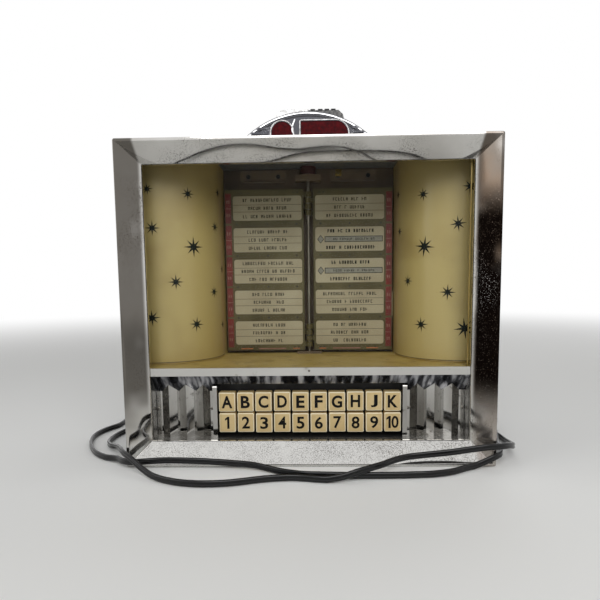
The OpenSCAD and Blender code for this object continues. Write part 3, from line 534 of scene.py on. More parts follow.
mat = bpy.data.materials.new("floor_paper")
mat.use_nodes = True
nodes, links = mat.node_tree.nodes, mat.node_tree.links
paper = nodes["Principled BSDF"]
paper.inputs["Base Color"].default_value = shade(238, 238, 236)
paper.inputs["Roughness"].default_value = 0.7
paper.inputs["Specular IOR Level"].default_value = 0.2
white = nodes.new("ShaderNodeEmission")
white.inputs["Color"].default_value = WHITE
coords = nodes.new("ShaderNodeTexCoord")
reach = nodes.new("ShaderNodeVectorMath")
reach.operation = "LENGTH"
links.new(coords.outputs["Object"], reach.inputs[0])
fade = soft_step(nodes, links, reach.outputs["Value"], FADE_FROM, FADE_TO)
share = joined(nodes, links, "MULTIPLY", fade, white_seen(nodes, links))
mix = nodes.new("ShaderNodeMixShader")
links.new(share, mix.inputs["Fac"])
links.new(paper.outputs["BSDF"], mix.inputs[1])
links.new(white.outputs["Emission"], mix.inputs[2])
links.new(mix.outputs["Shader"], nodes["Material Output"].inputs["Surface"])
mesh.materials.append(mat)

world = bpy.data.worlds.new("studio")
world.use_nodes = True
bpy.context.scene.world = world
nodes, links = world.node_tree.nodes, world.node_tree.links
air = nodes.new("ShaderNodeMix")
air.data_type = "RGBA"
air.inputs["A"].default_value = shade(150, 150, 150)
air.inputs["B"].default_value = WHITE
links.new(white_seen(nodes, links), air.inputs["Factor"])
links.new(air.outputs["Result"], nodes["Background"].inputs["Color"])
print("floor and backdrop made")

# %% [markdown]
# Three large, weak area lamps light the box softly from the front, the left and
# behind. They stay low, so that pale enamel keeps its tone.

# %% Studio lamps


def lamp(name, place, aim, width, height, power):
    """A rectangular lamp at one place that shines on another"""
    light = bpy.data.lights.new(name, "AREA")
    light.shape = "RECTANGLE"
    light.size, light.size_y = width, height
    light.energy = power
    obj = bpy.data.objects.new(name, light)
    look = (Vector(aim) - Vector(place)).to_track_quat("-Z", "Y")
    obj.matrix_world = Matrix.Translation(Vector(place)) @ look.to_matrix().to_4x4()
    bpy.context.scene.collection.objects.link(obj)
    print(name, power, "W")


lamp("key_lamp", (0.1, -0.95, 0.8), (0, 0, 0.08), 0.9, 0.6, 7)
lamp("left_lamp", (-0.9, -0.5, 0.6), (0, 0, 0.12), 0.5, 0.7, 1.6)
lamp("back_lamp", (0.4, 0.8, 0.9), (0, 0, 0.15), 0.8, 0.5, 2)

# %% [markdown]
# The front frame is one casting with a mitred, sloped border. It starts as one
# ring with round corners, which is extruded step by step along the border's
# profile, so that the lip gets a soft worn edge. Each step of the profile says
# how far in from the frame's edge it lies, and how deep. Its chrome is hazy and
# pitted all over, and almost black from wear in one patch on the right. It is
# painted pale at the bottom, a painted highlight for the light the bottom border
# reflects. Both sides are dull, partly from tarnish and partly as a painted
# reflection of darker surroundings, and the right side has a painted brown
# reflection as well. Each of these tones is laid over the chrome in its own
# stretch of the axes, in metres.

# %% Chrome finishes
LEFT_SIDE, RIGHT_SIDE = ("X", (-0.1355, -0.1385)), ("X", (0.1355, 0.1385))
chrome = worn("frame_chrome", [(0.3, (186, 183, 178)), (0.55, (206, 204, 200)),
                               (0.8, (224, 223, 221))], 16, (0.012, 0.06), metal=1.0,
              relief=0.005, relief_scale=90)
# painted highlight: the bottom border made paler, for the light it reflects
overlay(chrome, (212, 211, 208), 30, 0.0, 0.05, strength=0.85, zones=[("Z", (0.021, 0.017))])
# partly tarnish, partly painted reflection: the left side and the upper right side darker in
# patches
overlay(chrome, (82, 77, 70), 9, 0.3, 0.44, strength=0.88, zones=[LEFT_SIDE])
overlay(chrome, (74, 62, 50), 9, 0.3, 0.44, strength=0.88,
        zones=[RIGHT_SIDE, ("Z", (0.03, 0.07))])
overlay(chrome, (66, 58, 50), 22, 0.42, 0.66, gloss=0.35, strength=0.8, speck=1300, cover=0.55)
overlay(chrome, (104, 102, 98), 60, 0.25, 0.5, gloss=0.25, strength=0.7, speck=1700, cover=0.53,
        zones=[("Z", (0.0185, 0.015))])
# painted reflection: a brown tone on the right side
overlay(chrome, (112, 88, 66), 18, 0.35, 0.6, zones=[("X", (0.136, 0.141))], gloss=0.16,
        strength=0.45)
overlay(chrome, (14, 9, 7), 14, 0.28, 0.4, gloss=0.5, speck=1300, cover=0.3,
        zones=[("X", (0.1365, 0.139)), ("Z", (0.035, 0.075)), ("Z", (0.235, 0.2))])
canopy_chrome = worn("canopy_chrome", [(0.42, (26, 26, 30)), (0.52, (110, 112, 118)),
                                       (0.64, (232, 233, 238))], 170, (0.05, 0.16), metal=0.7,
                     stretch=(1, 0.22, 0.22), detail=2)
grille_chrome = worn("grille_chrome", between((150, 147, 142), (196, 195, 192)), 45,
                     (0.03, 0.1), metal=1.0, stretch=(1, 1, 0.3))
overlay(grille_chrome, (84, 78, 70), 160, 0.6, 0.75, gloss=0.4, strength=0.6)
head_chrome = worn("head_chrome", between((150, 150, 150), (196, 196, 196)), 30, (0.06, 0.16),
                   metal=1.0)
# painted reflection: the coin head's front face made dark, for the dark surroundings its chrome
# reflects
overlay(head_chrome, (46, 46, 49), 30, 0.0, 0.05, gloss=0.18, zones=[("Y", (0.0125, 0.0105))])
overlay(head_chrome, (120, 120, 122), 40, 0.45, 0.7, speck=900, cover=0.56, strength=0.6)

# %% Front frame
PROFILE = [
    (0, 26), (0, 1.2), (0.12, 0.55), (0.45, 0.14), (0.95, 0), (2.1, 0), (2.5, 0.12), (2.8, 0.42),
    (3.4, 1.12), (16.3, 16.7), (16.8, 17.35), (17, 18), (17, 20.3), (2.5, 2.9), (2, 3.1), (2, 25.7),
]


def frame_ring(inset, depth):
    """A rectangle with round corners, this far in from the frame's edge"""
    r = max(1.6 - inset, 0.3)
    ring = []
    for side_x, side_z, first in ((1, 1, 0), (-1, 1, 90), (-1, -1, 180), (1, -1, 270)):
        for k in range(5):
            a = math.radians(first + 22.5 * k)
            ring.append(at(side_x * (FRAME_W / 2 - inset - r) + r * math.cos(a), depth,
                           FRAME_H / 2 + side_z * (FRAME_H / 2 - inset - r) + r * math.sin(a)))
    return ring


bm = bmesh.new()
sweep(bm, [frame_ring(*step) for step in PROFILE], closed=True)
piece(bm, "chrome_frame", [chrome], takes=("front_frame",), crease=24)

# %% [markdown]
# Each key is a moulded ivory cap on a stem. A plain block is bevelled, its face
# edge is a paler tone, and the character is a thin printed
# shape, made from a font curve that is turned into a mesh. The 1 is drawn as an
# outline of seven points instead, to get its slanted flag.

# %% Keys
key_ivory = worn("key_ivory", between((196, 169, 117), (210, 187, 137)), 60, (0.28, 0.42),
                 relief=0.01)
overlay(key_ivory, (150, 124, 82), 120, 0.58, 0.75, strength=0.5)
key_edge = worn("key_edge", between((232, 220, 186), (240, 232, 205)), 90, (0.3, 0.4))
key_ink = worn("key_ink", between((6, 5, 5), (14, 12, 11)), 200, (0.5, 0.6), level=0.15)
LETTER_ROW, NUMBER_ROW, KEY_PITCH, ROW_MIDDLE = 48.5, 29.8, 16, 4.5
KEY_W, KEY_H, KEY_FACE, CAP_DEPTH, STEM_END = 14.4, 17, 27, 9, 70
INK_LIFT, LETTER_TALL, NUMBER_TALL, TEN_SPREAD = 0.03, 11.0, 10.8, 5.4
WIDTHS = {"a": 9.4, "b": 8.0, "c": 8.8, "d": 8.4, "e": 7.3, "f": 7.0, "g": 9.2, "h": 8.3, "j": 6.0,
          "k": 8.6, "0": 6.2}
ONE = [(1.1, -0.5), (1.1, 0.5), (-0.5, 0.5), (-2.7, 0.33), (-2.7, 0.17), (-0.9, 0.28), (-0.9, -0.5)]


def character(text, width, tall, x, z):
    """The outline of one character as a flat mesh on the key's face"""
    if text == "1":
        mesh = bpy.data.meshes.new("ink")
        mesh.from_pydata([at(x + 0.6 + a, KEY_FACE - INK_LIFT, z + b * tall) for a, b in ONE], [],
                         [range(len(ONE))])
        return mesh
    curve = bpy.data.curves.new("ink", "FONT")
    curve.body = text
    curve.size = 1
    curve.offset = 0.032 if text.isalpha() else 0.022
    curve.resolution_u = 4
    holder = bpy.data.objects.new("ink", curve)
    bpy.context.scene.collection.objects.link(holder)
    bpy.context.view_layer.update()
    mesh = bpy.data.meshes.new_from_object(holder.evaluated_get(
        bpy.context.evaluated_depsgraph_get()))
    bpy.data.objects.remove(holder)
    xs = [v.co.x for v in mesh.vertices]
    ys = [v.co.y for v in mesh.vertices]
    wide, high = max(xs) - min(xs), max(ys) - min(ys)
    for v in mesh.vertices:
        v.co = at(x + (v.co.x - min(xs) - wide / 2) / wide * width, KEY_FACE - INK_LIFT,
                  z + (v.co.y - min(ys) - high / 2) / high * tall)
    return mesh


def key(label, index, row_z, shift):
    """One key with its stem and collar; the cap sits a little off its place"""
    stem_x = (index - ROW_MIDDLE) * KEY_PITCH
    x, z = stem_x + shift[0], row_z + shift[1]
    bm = bmesh.new()
    block(bm, (x - KEY_W / 2, x + KEY_W / 2), (KEY_FACE, KEY_FACE + CAP_DEPTH),
          (z - KEY_H / 2, z + KEY_H / 2))
    along = [e for e in bm.edges if abs(e.verts[0].co.y - e.verts[1].co.y) > 0.001]
    bmesh.ops.bevel(bm, geom=along, offset=1.0 * MM, affect="EDGES", segments=3, profile=0.5,
                    material=-1)
    front = min(bm.faces, key=lambda f: f.calc_center_median().y)
    rim = bmesh.ops.bevel(bm, geom=list(front.edges), offset=0.75 * MM, affect="EDGES",
                          segments=3, profile=0.5, material=-1)
    for f in rim["faces"]:
        f.material_index = 1
    block(bm, (stem_x - 3, stem_x + 3), (KEY_FACE + CAP_DEPTH - 0.1, STEM_END),
          (row_z - 2, row_z + 2))
    block(bm, (stem_x - 4, stem_x + 4), (42.5, 44.5), (row_z - 3, row_z + 3))
    bmesh.ops.recalc_face_normals(bm, faces=bm.faces)
    name = label.lower()
    tall = LETTER_TALL if label.isalpha() else NUMBER_TALL
    spread = TEN_SPREAD if len(label) == 2 else 0
    before = set(bm.faces)
    for k, sign in enumerate(label):
        width = WIDTHS.get(sign.lower(), 7.0)
        bm.from_mesh(character(sign, width, tall, x + (k - 0.62) * spread, z + 0.1))
    for f in set(bm.faces) - before:
        f.material_index = 2
        f.normal_update()
        if f.normal.y > 0:
            f.normal_flip()
    piece(bm, "key_cap_" + name, [key_ivory, key_edge, key_ink], "key_" + name + "_button",
          ("key_" + name,), recalc=False)


seat = random.Random(4)
for row, z in (("ABCDEFGHJK", LETTER_ROW), ([str(n) for n in range(1, 11)], NUMBER_ROW)):
    for i, label in enumerate(row):
        key(label, i, z, (seat.uniform(-0.22, 0.22), seat.uniform(-0.28, 0.28)))

# %% [markdown]
# The two wings are sheets rolled into a soft quarter column. The profile is
# drawn once in many fine steps, and the length run along them later places the
# printed stars on the sheet as well.

# %% Wing profile
CASE_INNER, STAGE_HALF, WING_FRONT, WING_REAR, FULLNESS = 151.3, 85.5, 42, 97, 2.25
SHELF, CEILING, PANEL = 79.4, 264.8, 116
WING_PARTS, WING_STEPS = 56, 1200


def wing_point(t):
    """A point of the wing's profile, from the case wall to the panel"""
    power = 2 / FULLNESS
    return Vector((CASE_INNER - (CASE_INNER - STAGE_HALF) * math.sin(t) ** power,
                   WING_REAR - (WING_REAR - WING_FRONT) * abs(math.cos(t)) ** power))


dense = [wing_point(math.pi / 2 * i / WING_STEPS) for i in range(WING_STEPS + 1)]
run = [0.0]
for a, b in zip(dense, dense[1:]):
    run.append(run[-1] + (b - a).length)


def along_wing(s):
    """Place and outward direction at this distance from the case wall"""
    s = min(max(s, 0), run[-1])
    i = next(k for k, r in enumerate(run) if r >= s)
    i = min(max(i, 1), len(dense) - 1)
    part = (s - run[i - 1]) / max(run[i] - run[i - 1], 1e-9)
    p = dense[i - 1].lerp(dense[i], part)
    d = (dense[min(i + 6, WING_STEPS)] - dense[max(i - 7, 0)]).normalized()
    return p, Vector((d.y, -d.x)) * -1


WING_ARC = run[-1]
print("wing arc", round(WING_ARC, 2), "mm, faces", along_wing(WING_ARC / 2)[1])

# %% Wing sheets
wing_cream = worn("wing_cream", [(0.25, (180, 157, 99)), (0.5, (191, 170, 111)),
                                 (0.75, (204, 184, 128))], 9, (0.3, 0.45), stretch=(1, 1, 0.5),
                  coat=0.15)
overlay(wing_cream, (128, 100, 50), 14, 0.5, 0.75, strength=0.45)
# painted shade: the wing darker towards its top, where the frame's top border shades it
overlay(wing_cream, (122, 100, 54), 3, 0.2, 0.3, zones=[("Z", (0.15, 0.27))], strength=0.5)
overlay(wing_cream, (150, 118, 60), 900, 0.62, 0.7, strength=0.35)


def wing_ring(side, z):
    """The wing's profile as a row of points at one height"""
    front = [along_wing(WING_ARC * i / WING_PARTS)[0] for i in range(WING_PARTS + 1)]
    return [at(side * p.x, p.y, z) for p in front + [Vector((STAGE_HALF, PANEL))]]


for side, name in ((-1, "left"), (1, "right")):
    bm = bmesh.new()
    line_of = [bm.verts.new(p) for p in wing_ring(side, SHELF + 0.05)]
    edges = [bm.edges.new(pair) for pair in zip(line_of, line_of[1:])]
    rise = bmesh.ops.extrude_edge_only(bm, edges=edges)["geom"]
    top = [v for v in rise if isinstance(v, bmesh.types.BMVert)]
    bmesh.ops.translate(bm, vec=(0, 0, (CEILING - SHELF - 0.1) * MM), verts=top)
    bmesh.ops.recalc_face_normals(bm, faces=bm.faces)
    if bm.faces[:][10].normal.y > 0:
        bmesh.ops.reverse_faces(bm, faces=bm.faces)
    bmesh.ops.solidify(bm, geom=bm.faces[:], thickness=1.1 * MM)
    piece(bm, name + "_wing_sheet", [wing_cream], takes=(name + "_wing_panel",))

# %% [markdown]
# The sheets are printed with eight-pointed stars, a common pattern of the
# fifties. Each one is a flat star whose points are bent round the wing, a few
# hundredths of a millimetre in front of it.

# %% Printed stars
star_ink = worn("star_ink", between((8, 12, 9), (20, 26, 19)), 300, (0.45, 0.55), level=0.2)
SIZES = {"L": 9.8, "m+": 7.9, "m": 7.3, "s": 6.3, "e": 5.8, "p": 5.6}
STAR_LIFT = 0.07
LEFT_STARS = [
    (46.4, 231.6, "s"), (85.8, 237.5, "e"), (11.3, 234.4, "p"), (14.4, 200.9, "m"),
    (77.7, 204.7, "s"), (50.4, 184.8, "L"), (94.4, 165.4, "e"), (33.2, 153.4, "m"),
    (73.4, 143.7, "s"), (11.3, 121.6, "m+"), (51.2, 114.5, "m"), (91.7, 111.3, "e"),
]
RIGHT_STARS = [
    (52.1, 228.5, "s"), (11.5, 232.4, "m"), (89.1, 233.5, "e"), (21.1, 201.1, "m"),
    (83.8, 198.7, "e"), (50.2, 182.5, "L"), (68.5, 151.9, "s"), (29.0, 141.7, "m"),
    (52.6, 112.3, "m"), (14.0, 109.8, "L"),
]


def star(bm, side, s, z, reach, turn):
    """Eight thin points round one middle, bent round the wing"""
    points = []
    for k in range(16):
        a = math.radians(22.5 * k + turn)
        r = reach * (0.28 if k % 2 else 1.0 if k % 4 == 0 else 0.88)
        points.append(bm.verts.new((r * math.cos(a), r * math.sin(a), 0)))
    face = bm.faces.new(points)
    bmesh.ops.poke(bm, faces=[face])
    bmesh.ops.subdivide_edges(bm, edges=made_of(points)[1], cuts=3, use_grid_fill=True)
    verts = {v for f in bm.faces for v in f.verts if abs(v.co.x) < reach + 1 and v.co.z == 0}
    for v in verts:
        p, out = along_wing(s + v.co.x)
        p = p + out * STAR_LIFT
        v.co = at(side * p.x, p.y, z + v.co.y)


pick = random.Random(11)
for side, name, stars in ((-1, "left", LEFT_STARS), (1, "right", RIGHT_STARS)):
    bm = bmesh.new()
    for s, z, kind in stars:
        star(bm, side, s, z, SIZES[kind], pick.uniform(-7, 7))
    bmesh.ops.recalc_face_normals(bm, faces=bm.faces)
    for f in bm.faces:
        if f.normal.y > 0.05:
            f.normal_flip()
    piece(bm, name + "_wing_stars", [star_ink], recalc=False)

# %% [markdown]
# The carried-over solids that already have the right shape only need better
# finishes: the case, shelf, panel, strip, canopy, grilles and the works inside.

# %% Finishes of the carried-over solids
case_grey = worn("case_grey", between((84, 86, 88), (112, 114, 116)), 300, (0.4, 0.6),
                 relief=0.12, relief_scale=420, metal=0.3)
plate_steel = worn("plate_steel", between((120, 118, 114), (158, 156, 152)), 60, (0.3, 0.5),
                   metal=1.0, stretch=(1, 1, 0.1))
shelf_cream = worn("shelf_cream", [(0.25, (178, 150, 80)), (0.7, (204, 178, 108))], 26, (0.3, 0.45),
                   coat=0.1)
overlay(shelf_cream, (124, 92, 42), 80, 0.5, 0.75, strength=0.55)
overlay(shelf_cream, (110, 84, 44), 700, 0.62, 0.72, strength=0.5)
strip_metal = worn("strip_metal", between((176, 175, 170), (200, 199, 195)), 30, (0.28, 0.4),
                   metal=0.75, stretch=(0.2, 1, 1))
overlay(strip_metal, (120, 112, 98), 120, 0.62, 0.74, strength=0.5)
panel_brown = worn("panel_brown", between((52, 39, 26), (86, 66, 46)), 18, (0.5, 0.7))
works_black = worn("works_black", between((12, 12, 12), (26, 25, 24)), 60, (0.5, 0.7))
spring_steel = worn("spring_steel", between((150, 148, 144), (190, 188, 184)), 80, (0.25, 0.4),
                    metal=1.0)
board_brown = worn("board_brown", between((84, 58, 34), (110, 78, 46)), 90, (0.5, 0.6),
                   stretch=(1, 1, 4))
lens_red = worn("lens_red", between((50, 0, 6), (92, 3, 12)), 300, (0.3, 0.45), level=0.05)
brass_plate = worn("coin_plate_steel", between((112, 109, 103), (160, 157, 150)), 60,
                   (0.2, 0.4), metal=1.0, stretch=(0.2, 1, 1))
zinc = worn("chute_zinc", between((136, 128, 104), (168, 160, 134)), 40, (0.35, 0.5), metal=1.0)
box_grey = worn("coin_box_grey", between((74, 78, 74), (96, 100, 96)), 30, (0.4, 0.55))
rod_steel = worn("rod_steel", between((86, 80, 72), (134, 128, 118)), 160, (0.25, 0.45),
                 metal=1.0, stretch=(1, 1, 0.2))
bracket_dark = worn("bracket_dark", between((68, 55, 40), (104, 86, 64)), 60, (0.4, 0.6))
hub_red = worn("hub_red", between((44, 14, 11), (68, 22, 18)), 90, (0.3, 0.45))
# painted shade: the page tones are set darker than the olive paint, for the shade inside the case;
# the overlay below adds stains
page_olive_shaded = worn("page_olive_shaded", [(0.25, (80, 72, 48)), (0.5, (92, 84, 58)), (0.75, (106, 97, 69))],
                  24, (0.32, 0.5), level=0.2)
overlay(page_olive_shaded, (74, 66, 44), 40, 0.52, 0.72, strength=0.6)
card_paper = worn("card_paper", [(0.25, (156, 143, 117)), (0.5, (171, 159, 132)),
                                 (0.8, (182, 171, 145))], 30, (0.6, 0.7))
socket_white = worn("socket_white", between((206, 200, 186), (224, 218, 204)), 60, (0.2, 0.3))
bulb_milk = worn("bulb_milk", between((236, 234, 226), (244, 242, 236)), 40, (0.1, 0.2))
core_grey = worn("core_grey", between((62, 62, 62), (88, 86, 82)), 90, (0.4, 0.6), metal=0.5,
                 stretch=(8, 1, 1))
for node, finish in (
    ("rear_case", case_grey), ("wall_plate", plate_steel), ("shelf", shelf_cream),
    ("ledge_strip", strip_metal), ("canopy", canopy_chrome), ("back_panel", panel_brown),
    ("left_pleated_grille", grille_chrome), ("right_pleated_grille", grille_chrome),
    ("key_cheeks", grille_chrome), ("key_frame", works_black), ("key_springs", spring_steel),
    ("contact_board", board_brown), ("coin_head", head_chrome), ("coin_head_lenses", lens_red),
    ("coin_plate", brass_plate), ("coin_chute", zinc), ("coin_box", box_grey),
    ("spine_rod", rod_steel), ("spine_brackets", bracket_dark), ("spine_hub", hub_red),
    ("end_pages", page_olive_shaded), ("end_page_strips", card_paper),
    ("left_rear_leaf", page_olive_shaded), ("left_front_leaf", page_olive_shaded),
    ("right_rear_leaf", page_olive_shaded), ("right_front_leaf", page_olive_shaded),
    ("left_leaf_strips", card_paper), ("right_leaf_strips", card_paper),
    ("lamp_sockets", socket_white), ("lamp_bulbs", bulb_milk), ("transformer", core_grey),
):
    dress(node, finish)

# %% [markdown]
# The coin head's face has bright mouldings: a bead round the arch with a dark one
# inside it, beads round both lenses, ribs at the sides and a curved bead between
# the lenses. Each is a small round bar carried along a line. The lenses get flat
# faces of their own, and a low ledge with four ridges leads up to the coin plate
# on top. The dark bead inside the arch is a painted reflection: its black stands
# for the dark surroundings that the chrome reflects.

# %% Coin head mouldings
HEAD_DEPTH, ARCH_R, ARCH_Z = 80, 86, 223
LENS_LOW, LENS_TOP, LENS_RIM = 274, 300.2, 0.9
LEDGE_DEPTHS = (81.2, 94.2)


def bead(bm, path, r, depth, finish=0):
    """A round bar along a line of x and z, half sunk in the face behind it"""
    rings = []
    for i, (x, z) in enumerate(path):
        a, b = path[max(i - 1, 0)], path[min(i + 1, len(path) - 1)]
        d = Vector((b[0] - a[0], b[1] - a[1])).normalized()
        ring = []
        for k in range(10):
            t = 2 * math.pi * k / 10
            off = r * math.cos(t)
            ring.append(at(x - d.y * off, depth - r * math.sin(t), z + d.x * off))
        rings.append(ring)
    sweep(bm, rings, finish)


def arc(cx, cz, r, first, last, parts=48):
    """Points on an arc, from its first to its last angle"""
    angles = [math.radians(first + (last - first) * i / parts) for i in range(parts + 1)]
    return [(cx + r * math.cos(a), cz + r * math.sin(a)) for a in angles]


def prism(bm, outline, depths, finish):
    """A face drawn in x and z, given a thickness along the depth"""
    face = bm.faces.new([bm.verts.new(at(x, depths[0], z)) for x, z in outline])
    face.material_index = finish
    thicken(bm, face, depths)


bead_chrome = worn("bead_chrome", between((150, 150, 152), (214, 214, 214)), 90, (0.06, 0.16),
                   metal=1.0)
rim_grey = worn("rim_grey", [(0.4, (84, 84, 86)), (0.6, (150, 150, 150))], 220, (0.2, 0.35),
                metal=0.5)
lens_rim = worn("lens_rim", [(0.35, (150, 148, 146)), (0.65, (214, 214, 214))], 300, (0.2, 0.35),
                metal=0.3)
plate_dark = worn("plate_dark", [(0.35, (34, 34, 35)), (0.65, (96, 95, 93))], 500, (0.35, 0.5),
                  metal=0.3)
# painted reflection and shade: black for the dark bead inside the arch, which stands for the
# chrome's dark reflection, and for the screw holes above the pages; the four ledge ridges wear it
# too
shade_and_reflection_black = worn("shade_and_reflection_black", between((10, 10, 11), (24, 24, 26)), 80, (0.3, 0.45),
                    level=0.3)
bm = bmesh.new()
bead(bm, arc(0, ARCH_Z, ARCH_R - 1.5, 31.5, 148.5), 1.3, HEAD_DEPTH + 0.6)
bead(bm, arc(0, ARCH_Z, ARCH_R - 4.0, 33, 147), 1.3, HEAD_DEPTH + 1.1, 1)
left_x, left_r = -23.5, 9.8
left_z = LENS_TOP - left_r
loop = [(left_x - left_r - LENS_RIM, LENS_LOW)] + arc(left_x, left_z, left_r + LENS_RIM, 180, 0, 24)
bead(bm, loop + [(left_x + left_r + LENS_RIM, LENS_LOW)], 0.75, HEAD_DEPTH - 0.5, 3)
x0, x1, round_r = -6, 37.6, 11.5
round_x, round_z = x1 - round_r, LENS_TOP - round_r
loop = [(x0 - LENS_RIM, LENS_LOW), (x0 - LENS_RIM, LENS_TOP - 1.2)]
loop += arc(x0 + 0.6, LENS_TOP - 0.6, 1.5, 180, 90, 5)
loop += arc(round_x, round_z, round_r + LENS_RIM, 90, 0, 16) + [(x1 + LENS_RIM, LENS_LOW)]
bead(bm, loop, 0.75, HEAD_DEPTH - 0.5, 3)
for z in (274.5, 278.6, 283, 287.4):
    reach = math.sqrt((ARCH_R - 8) ** 2 - (z - ARCH_Z) ** 2)
    if reach > 38.5:
        bead(bm, [(-reach, z), (-35.4, z)], 1.0, HEAD_DEPTH - 0.4, 3)
for k in range(8):
    z = 273 + 2.6 * k
    reach = math.sqrt((ARCH_R - 8) ** 2 - (z - ARCH_Z) ** 2)
    if reach > 42:
        bead(bm, [(40.6, z), (reach, z)], 0.55, HEAD_DEPTH - 0.3, 2)
bead(bm, [(-12.3 + 1.7 * math.sin((z - 276) / 12 * math.pi), z) for z in range(274, 303)], 1.0,
     HEAD_DEPTH + 0.1)
prism(bm, [(-29.5, 302), (-28, 307.5), (-24.5, 310.6), (-12, 311.4), (1, 311.4), (1, 302)],
      LEDGE_DEPTHS, 3)
prism(bm, [(1, 302), (1, 310.5), (29, 310.2), (33, 306.5), (34.5, 301)], LEDGE_DEPTHS, 4)
for x in (3, 10, 16, 22):
    block(bm, (x, x + 4.4), (80.9, 93.8), (309.8, 311.5), finish=1, bevel=0.5)
outlines = [
    [(left_x - left_r, LENS_LOW)] + arc(left_x, left_z, left_r, 180, 0, 24)
    + [(left_x + left_r, LENS_LOW)],
    [(x0, LENS_LOW), (x0, LENS_TOP)] + arc(round_x, round_z, round_r, 90, 0, 16)
    + [(x1, LENS_LOW)],
]
lens_bm = bmesh.new()
for outline in outlines:
    prism(lens_bm, outline, (HEAD_DEPTH - 0.15, HEAD_DEPTH + 2.9), 0)
piece(lens_bm, "coin_head_lens_faces", [lens_red])
piece(bm, "coin_head_mouldings", [bead_chrome, shade_and_reflection_black, rim_grey, lens_rim, plate_dark])

# %% [markdown]
# Where a wing stands on the shelf, a thin folded edge runs round its foot. Two
# fine bars, one yellowed and one dark, are carried along the wing's own profile.

# %% Wing foot edges
edge_yellow = worn("edge_yellow", between((148, 120, 58), (184, 156, 88)), 50, (0.35, 0.5))
foot_line = worn("foot_line", between((74, 60, 36), (108, 90, 56)), 80, (0.45, 0.6))
for side, name in ((-1, "left"), (1, "right")):
    bm = bmesh.new()
    for height, r, lift, finish in ((0.55, 0.5, 0.1, 0), (1.5, 0.35, 0.05, 1)):
        rings = []
        for i in range(41):
            p, out = along_wing(WING_ARC * (0.01 + 0.985 * i / 40))
            middle = p + out * lift
            ring = []
            for k in range(8):
                t = 2 * math.pi * k / 8
                q = middle + out * r * math.cos(t)
                ring.append(at(side * q.x, q.y, SHELF + height + r * math.sin(t)))
            rings.append(ring)
        sweep(bm, rings, finish)
    piece(bm, name + "_wing_foot", [edge_yellow, foot_line])

# %% [markdown]
# A thin bright sheet lines the floor and the two ends of the recess in front of
# the grilles and the keys. A yellowed strip stands at the right of the window,
# behind the glass.

# %% Recess lining and window edge
recess_metal = worn("recess_metal", between((120, 118, 114), (176, 175, 172)), 90, (0.18, 0.32),
                    metal=0.8)
bm = bmesh.new()
RECESS_HALF, KEYS_HALF, RECESS_FRONT = 135.3, 84.3, 20.4
for x0, x1, back in ((-RECESS_HALF, -KEYS_HALF, 40.9), (-KEYS_HALF, KEYS_HALF, 25.6),
                     (KEYS_HALF, RECESS_HALF, 40.9)):
    corners = [(x0, RECESS_FRONT), (x1, RECESS_FRONT), (x1, back), (x0, back)]
    bm.faces.new([bm.verts.new(at(x, depth, 17.05)) for x, depth in corners])
for side in (-1, 1):
    corners = [(RECESS_FRONT, 17.1), (31.4, 17.1), (31.4, 73), (RECESS_FRONT, 73)]
    bm.faces.new([bm.verts.new(at(side * (RECESS_HALF + 0.05), depth, z)) for depth, z in corners])
piece(bm, "recess_lining", [recess_metal])
bm = bmesh.new()
block(bm, (134.1, 135.2), (23.1, 24.3), (79.6, 251), bevel=0.3)
piece(bm, "window_edge_strip", [edge_yellow])

# %% [markdown]
# Above the pages two pressed plates with screw holes hold the stage's top, and a
# small brass clip is bent over the right one. The holes are black discs, a painted
# shade.

# %% Plates above the pages
clip_brass = worn("clip_brass", between((76, 62, 30), (118, 98, 52)), 90, (0.3, 0.45), metal=1.0)
bm = bmesh.new()
for side in (-1, 1):
    plate(bm, side * 45, (113.9, 114.9), 257.8, 46, 11, 2.4)
    for dx in (-15, 15):
        # painted shade: each screw hole is a black disc
        post(bm, side * 45 + dx, (113.5, 114), 257.4, 2.2, finish=1, segments=20)
    block(bm, sorted((side * 23, side * 67)), (111.5, 113.9), (251.6, 252.8), bevel=0.4)
block(bm, (27, 33.5), (111, 113.8), (256.5, 263.5), finish=2, bevel=0.6)
block(bm, (28.5, 32), (108.5, 111.2), (259, 260.4), finish=2, bevel=0.4)
piece(bm, "stage_top_plates", [bracket_dark, shade_and_reflection_black, clip_brass])

# %% [markdown]
# The window is a plain sheet of glass. It lets the view through unbent and
# keeps only its thin reflection, which grows where the sheet is seen at a slant.

# %% Window glass
mat = bpy.data.materials.new("clear_glass")
mat.use_nodes = True
nodes, links = mat.node_tree.nodes, mat.node_tree.links
nodes.remove(nodes["Principled BSDF"])
clear = nodes.new("ShaderNodeBsdfTransparent")
clear.inputs["Color"].default_value = (0.97, 0.98, 0.97, 1)
shine = nodes.new("ShaderNodeBsdfGlossy")
shine.inputs["Roughness"].default_value = 0.02
edge = nodes.new("ShaderNodeFresnel")
edge.inputs["IOR"].default_value = 1.1
mix = nodes.new("ShaderNodeMixShader")
links.new(edge.outputs["Fac"], mix.inputs["Fac"])
links.new(clear.outputs["BSDF"], mix.inputs[1])
links.new(shine.outputs["BSDF"], mix.inputs[2])
links.new(mix.outputs["Shader"], nodes["Material Output"].inputs["Surface"])
dress("window_glass", mat)

# %% [markdown]
# The small screws have domed, slotted heads. A cone is bevelled to a dome and a
# thin dark sheet is laid across it for the slot, a painted shade in place of a cut.

# %% Screws
screw_metal = worn("screw_metal", between((92, 88, 82), (150, 146, 138)), 300, (0.25, 0.45),
                   metal=1.0)
# painted shade: the slot is a dark sheet on the dome, not a cut
slot_shade = worn("slot_shade", between((18, 16, 14), (34, 30, 26)), 300, (0.6, 0.7))
bm = bmesh.new()
lay = random.Random(3)


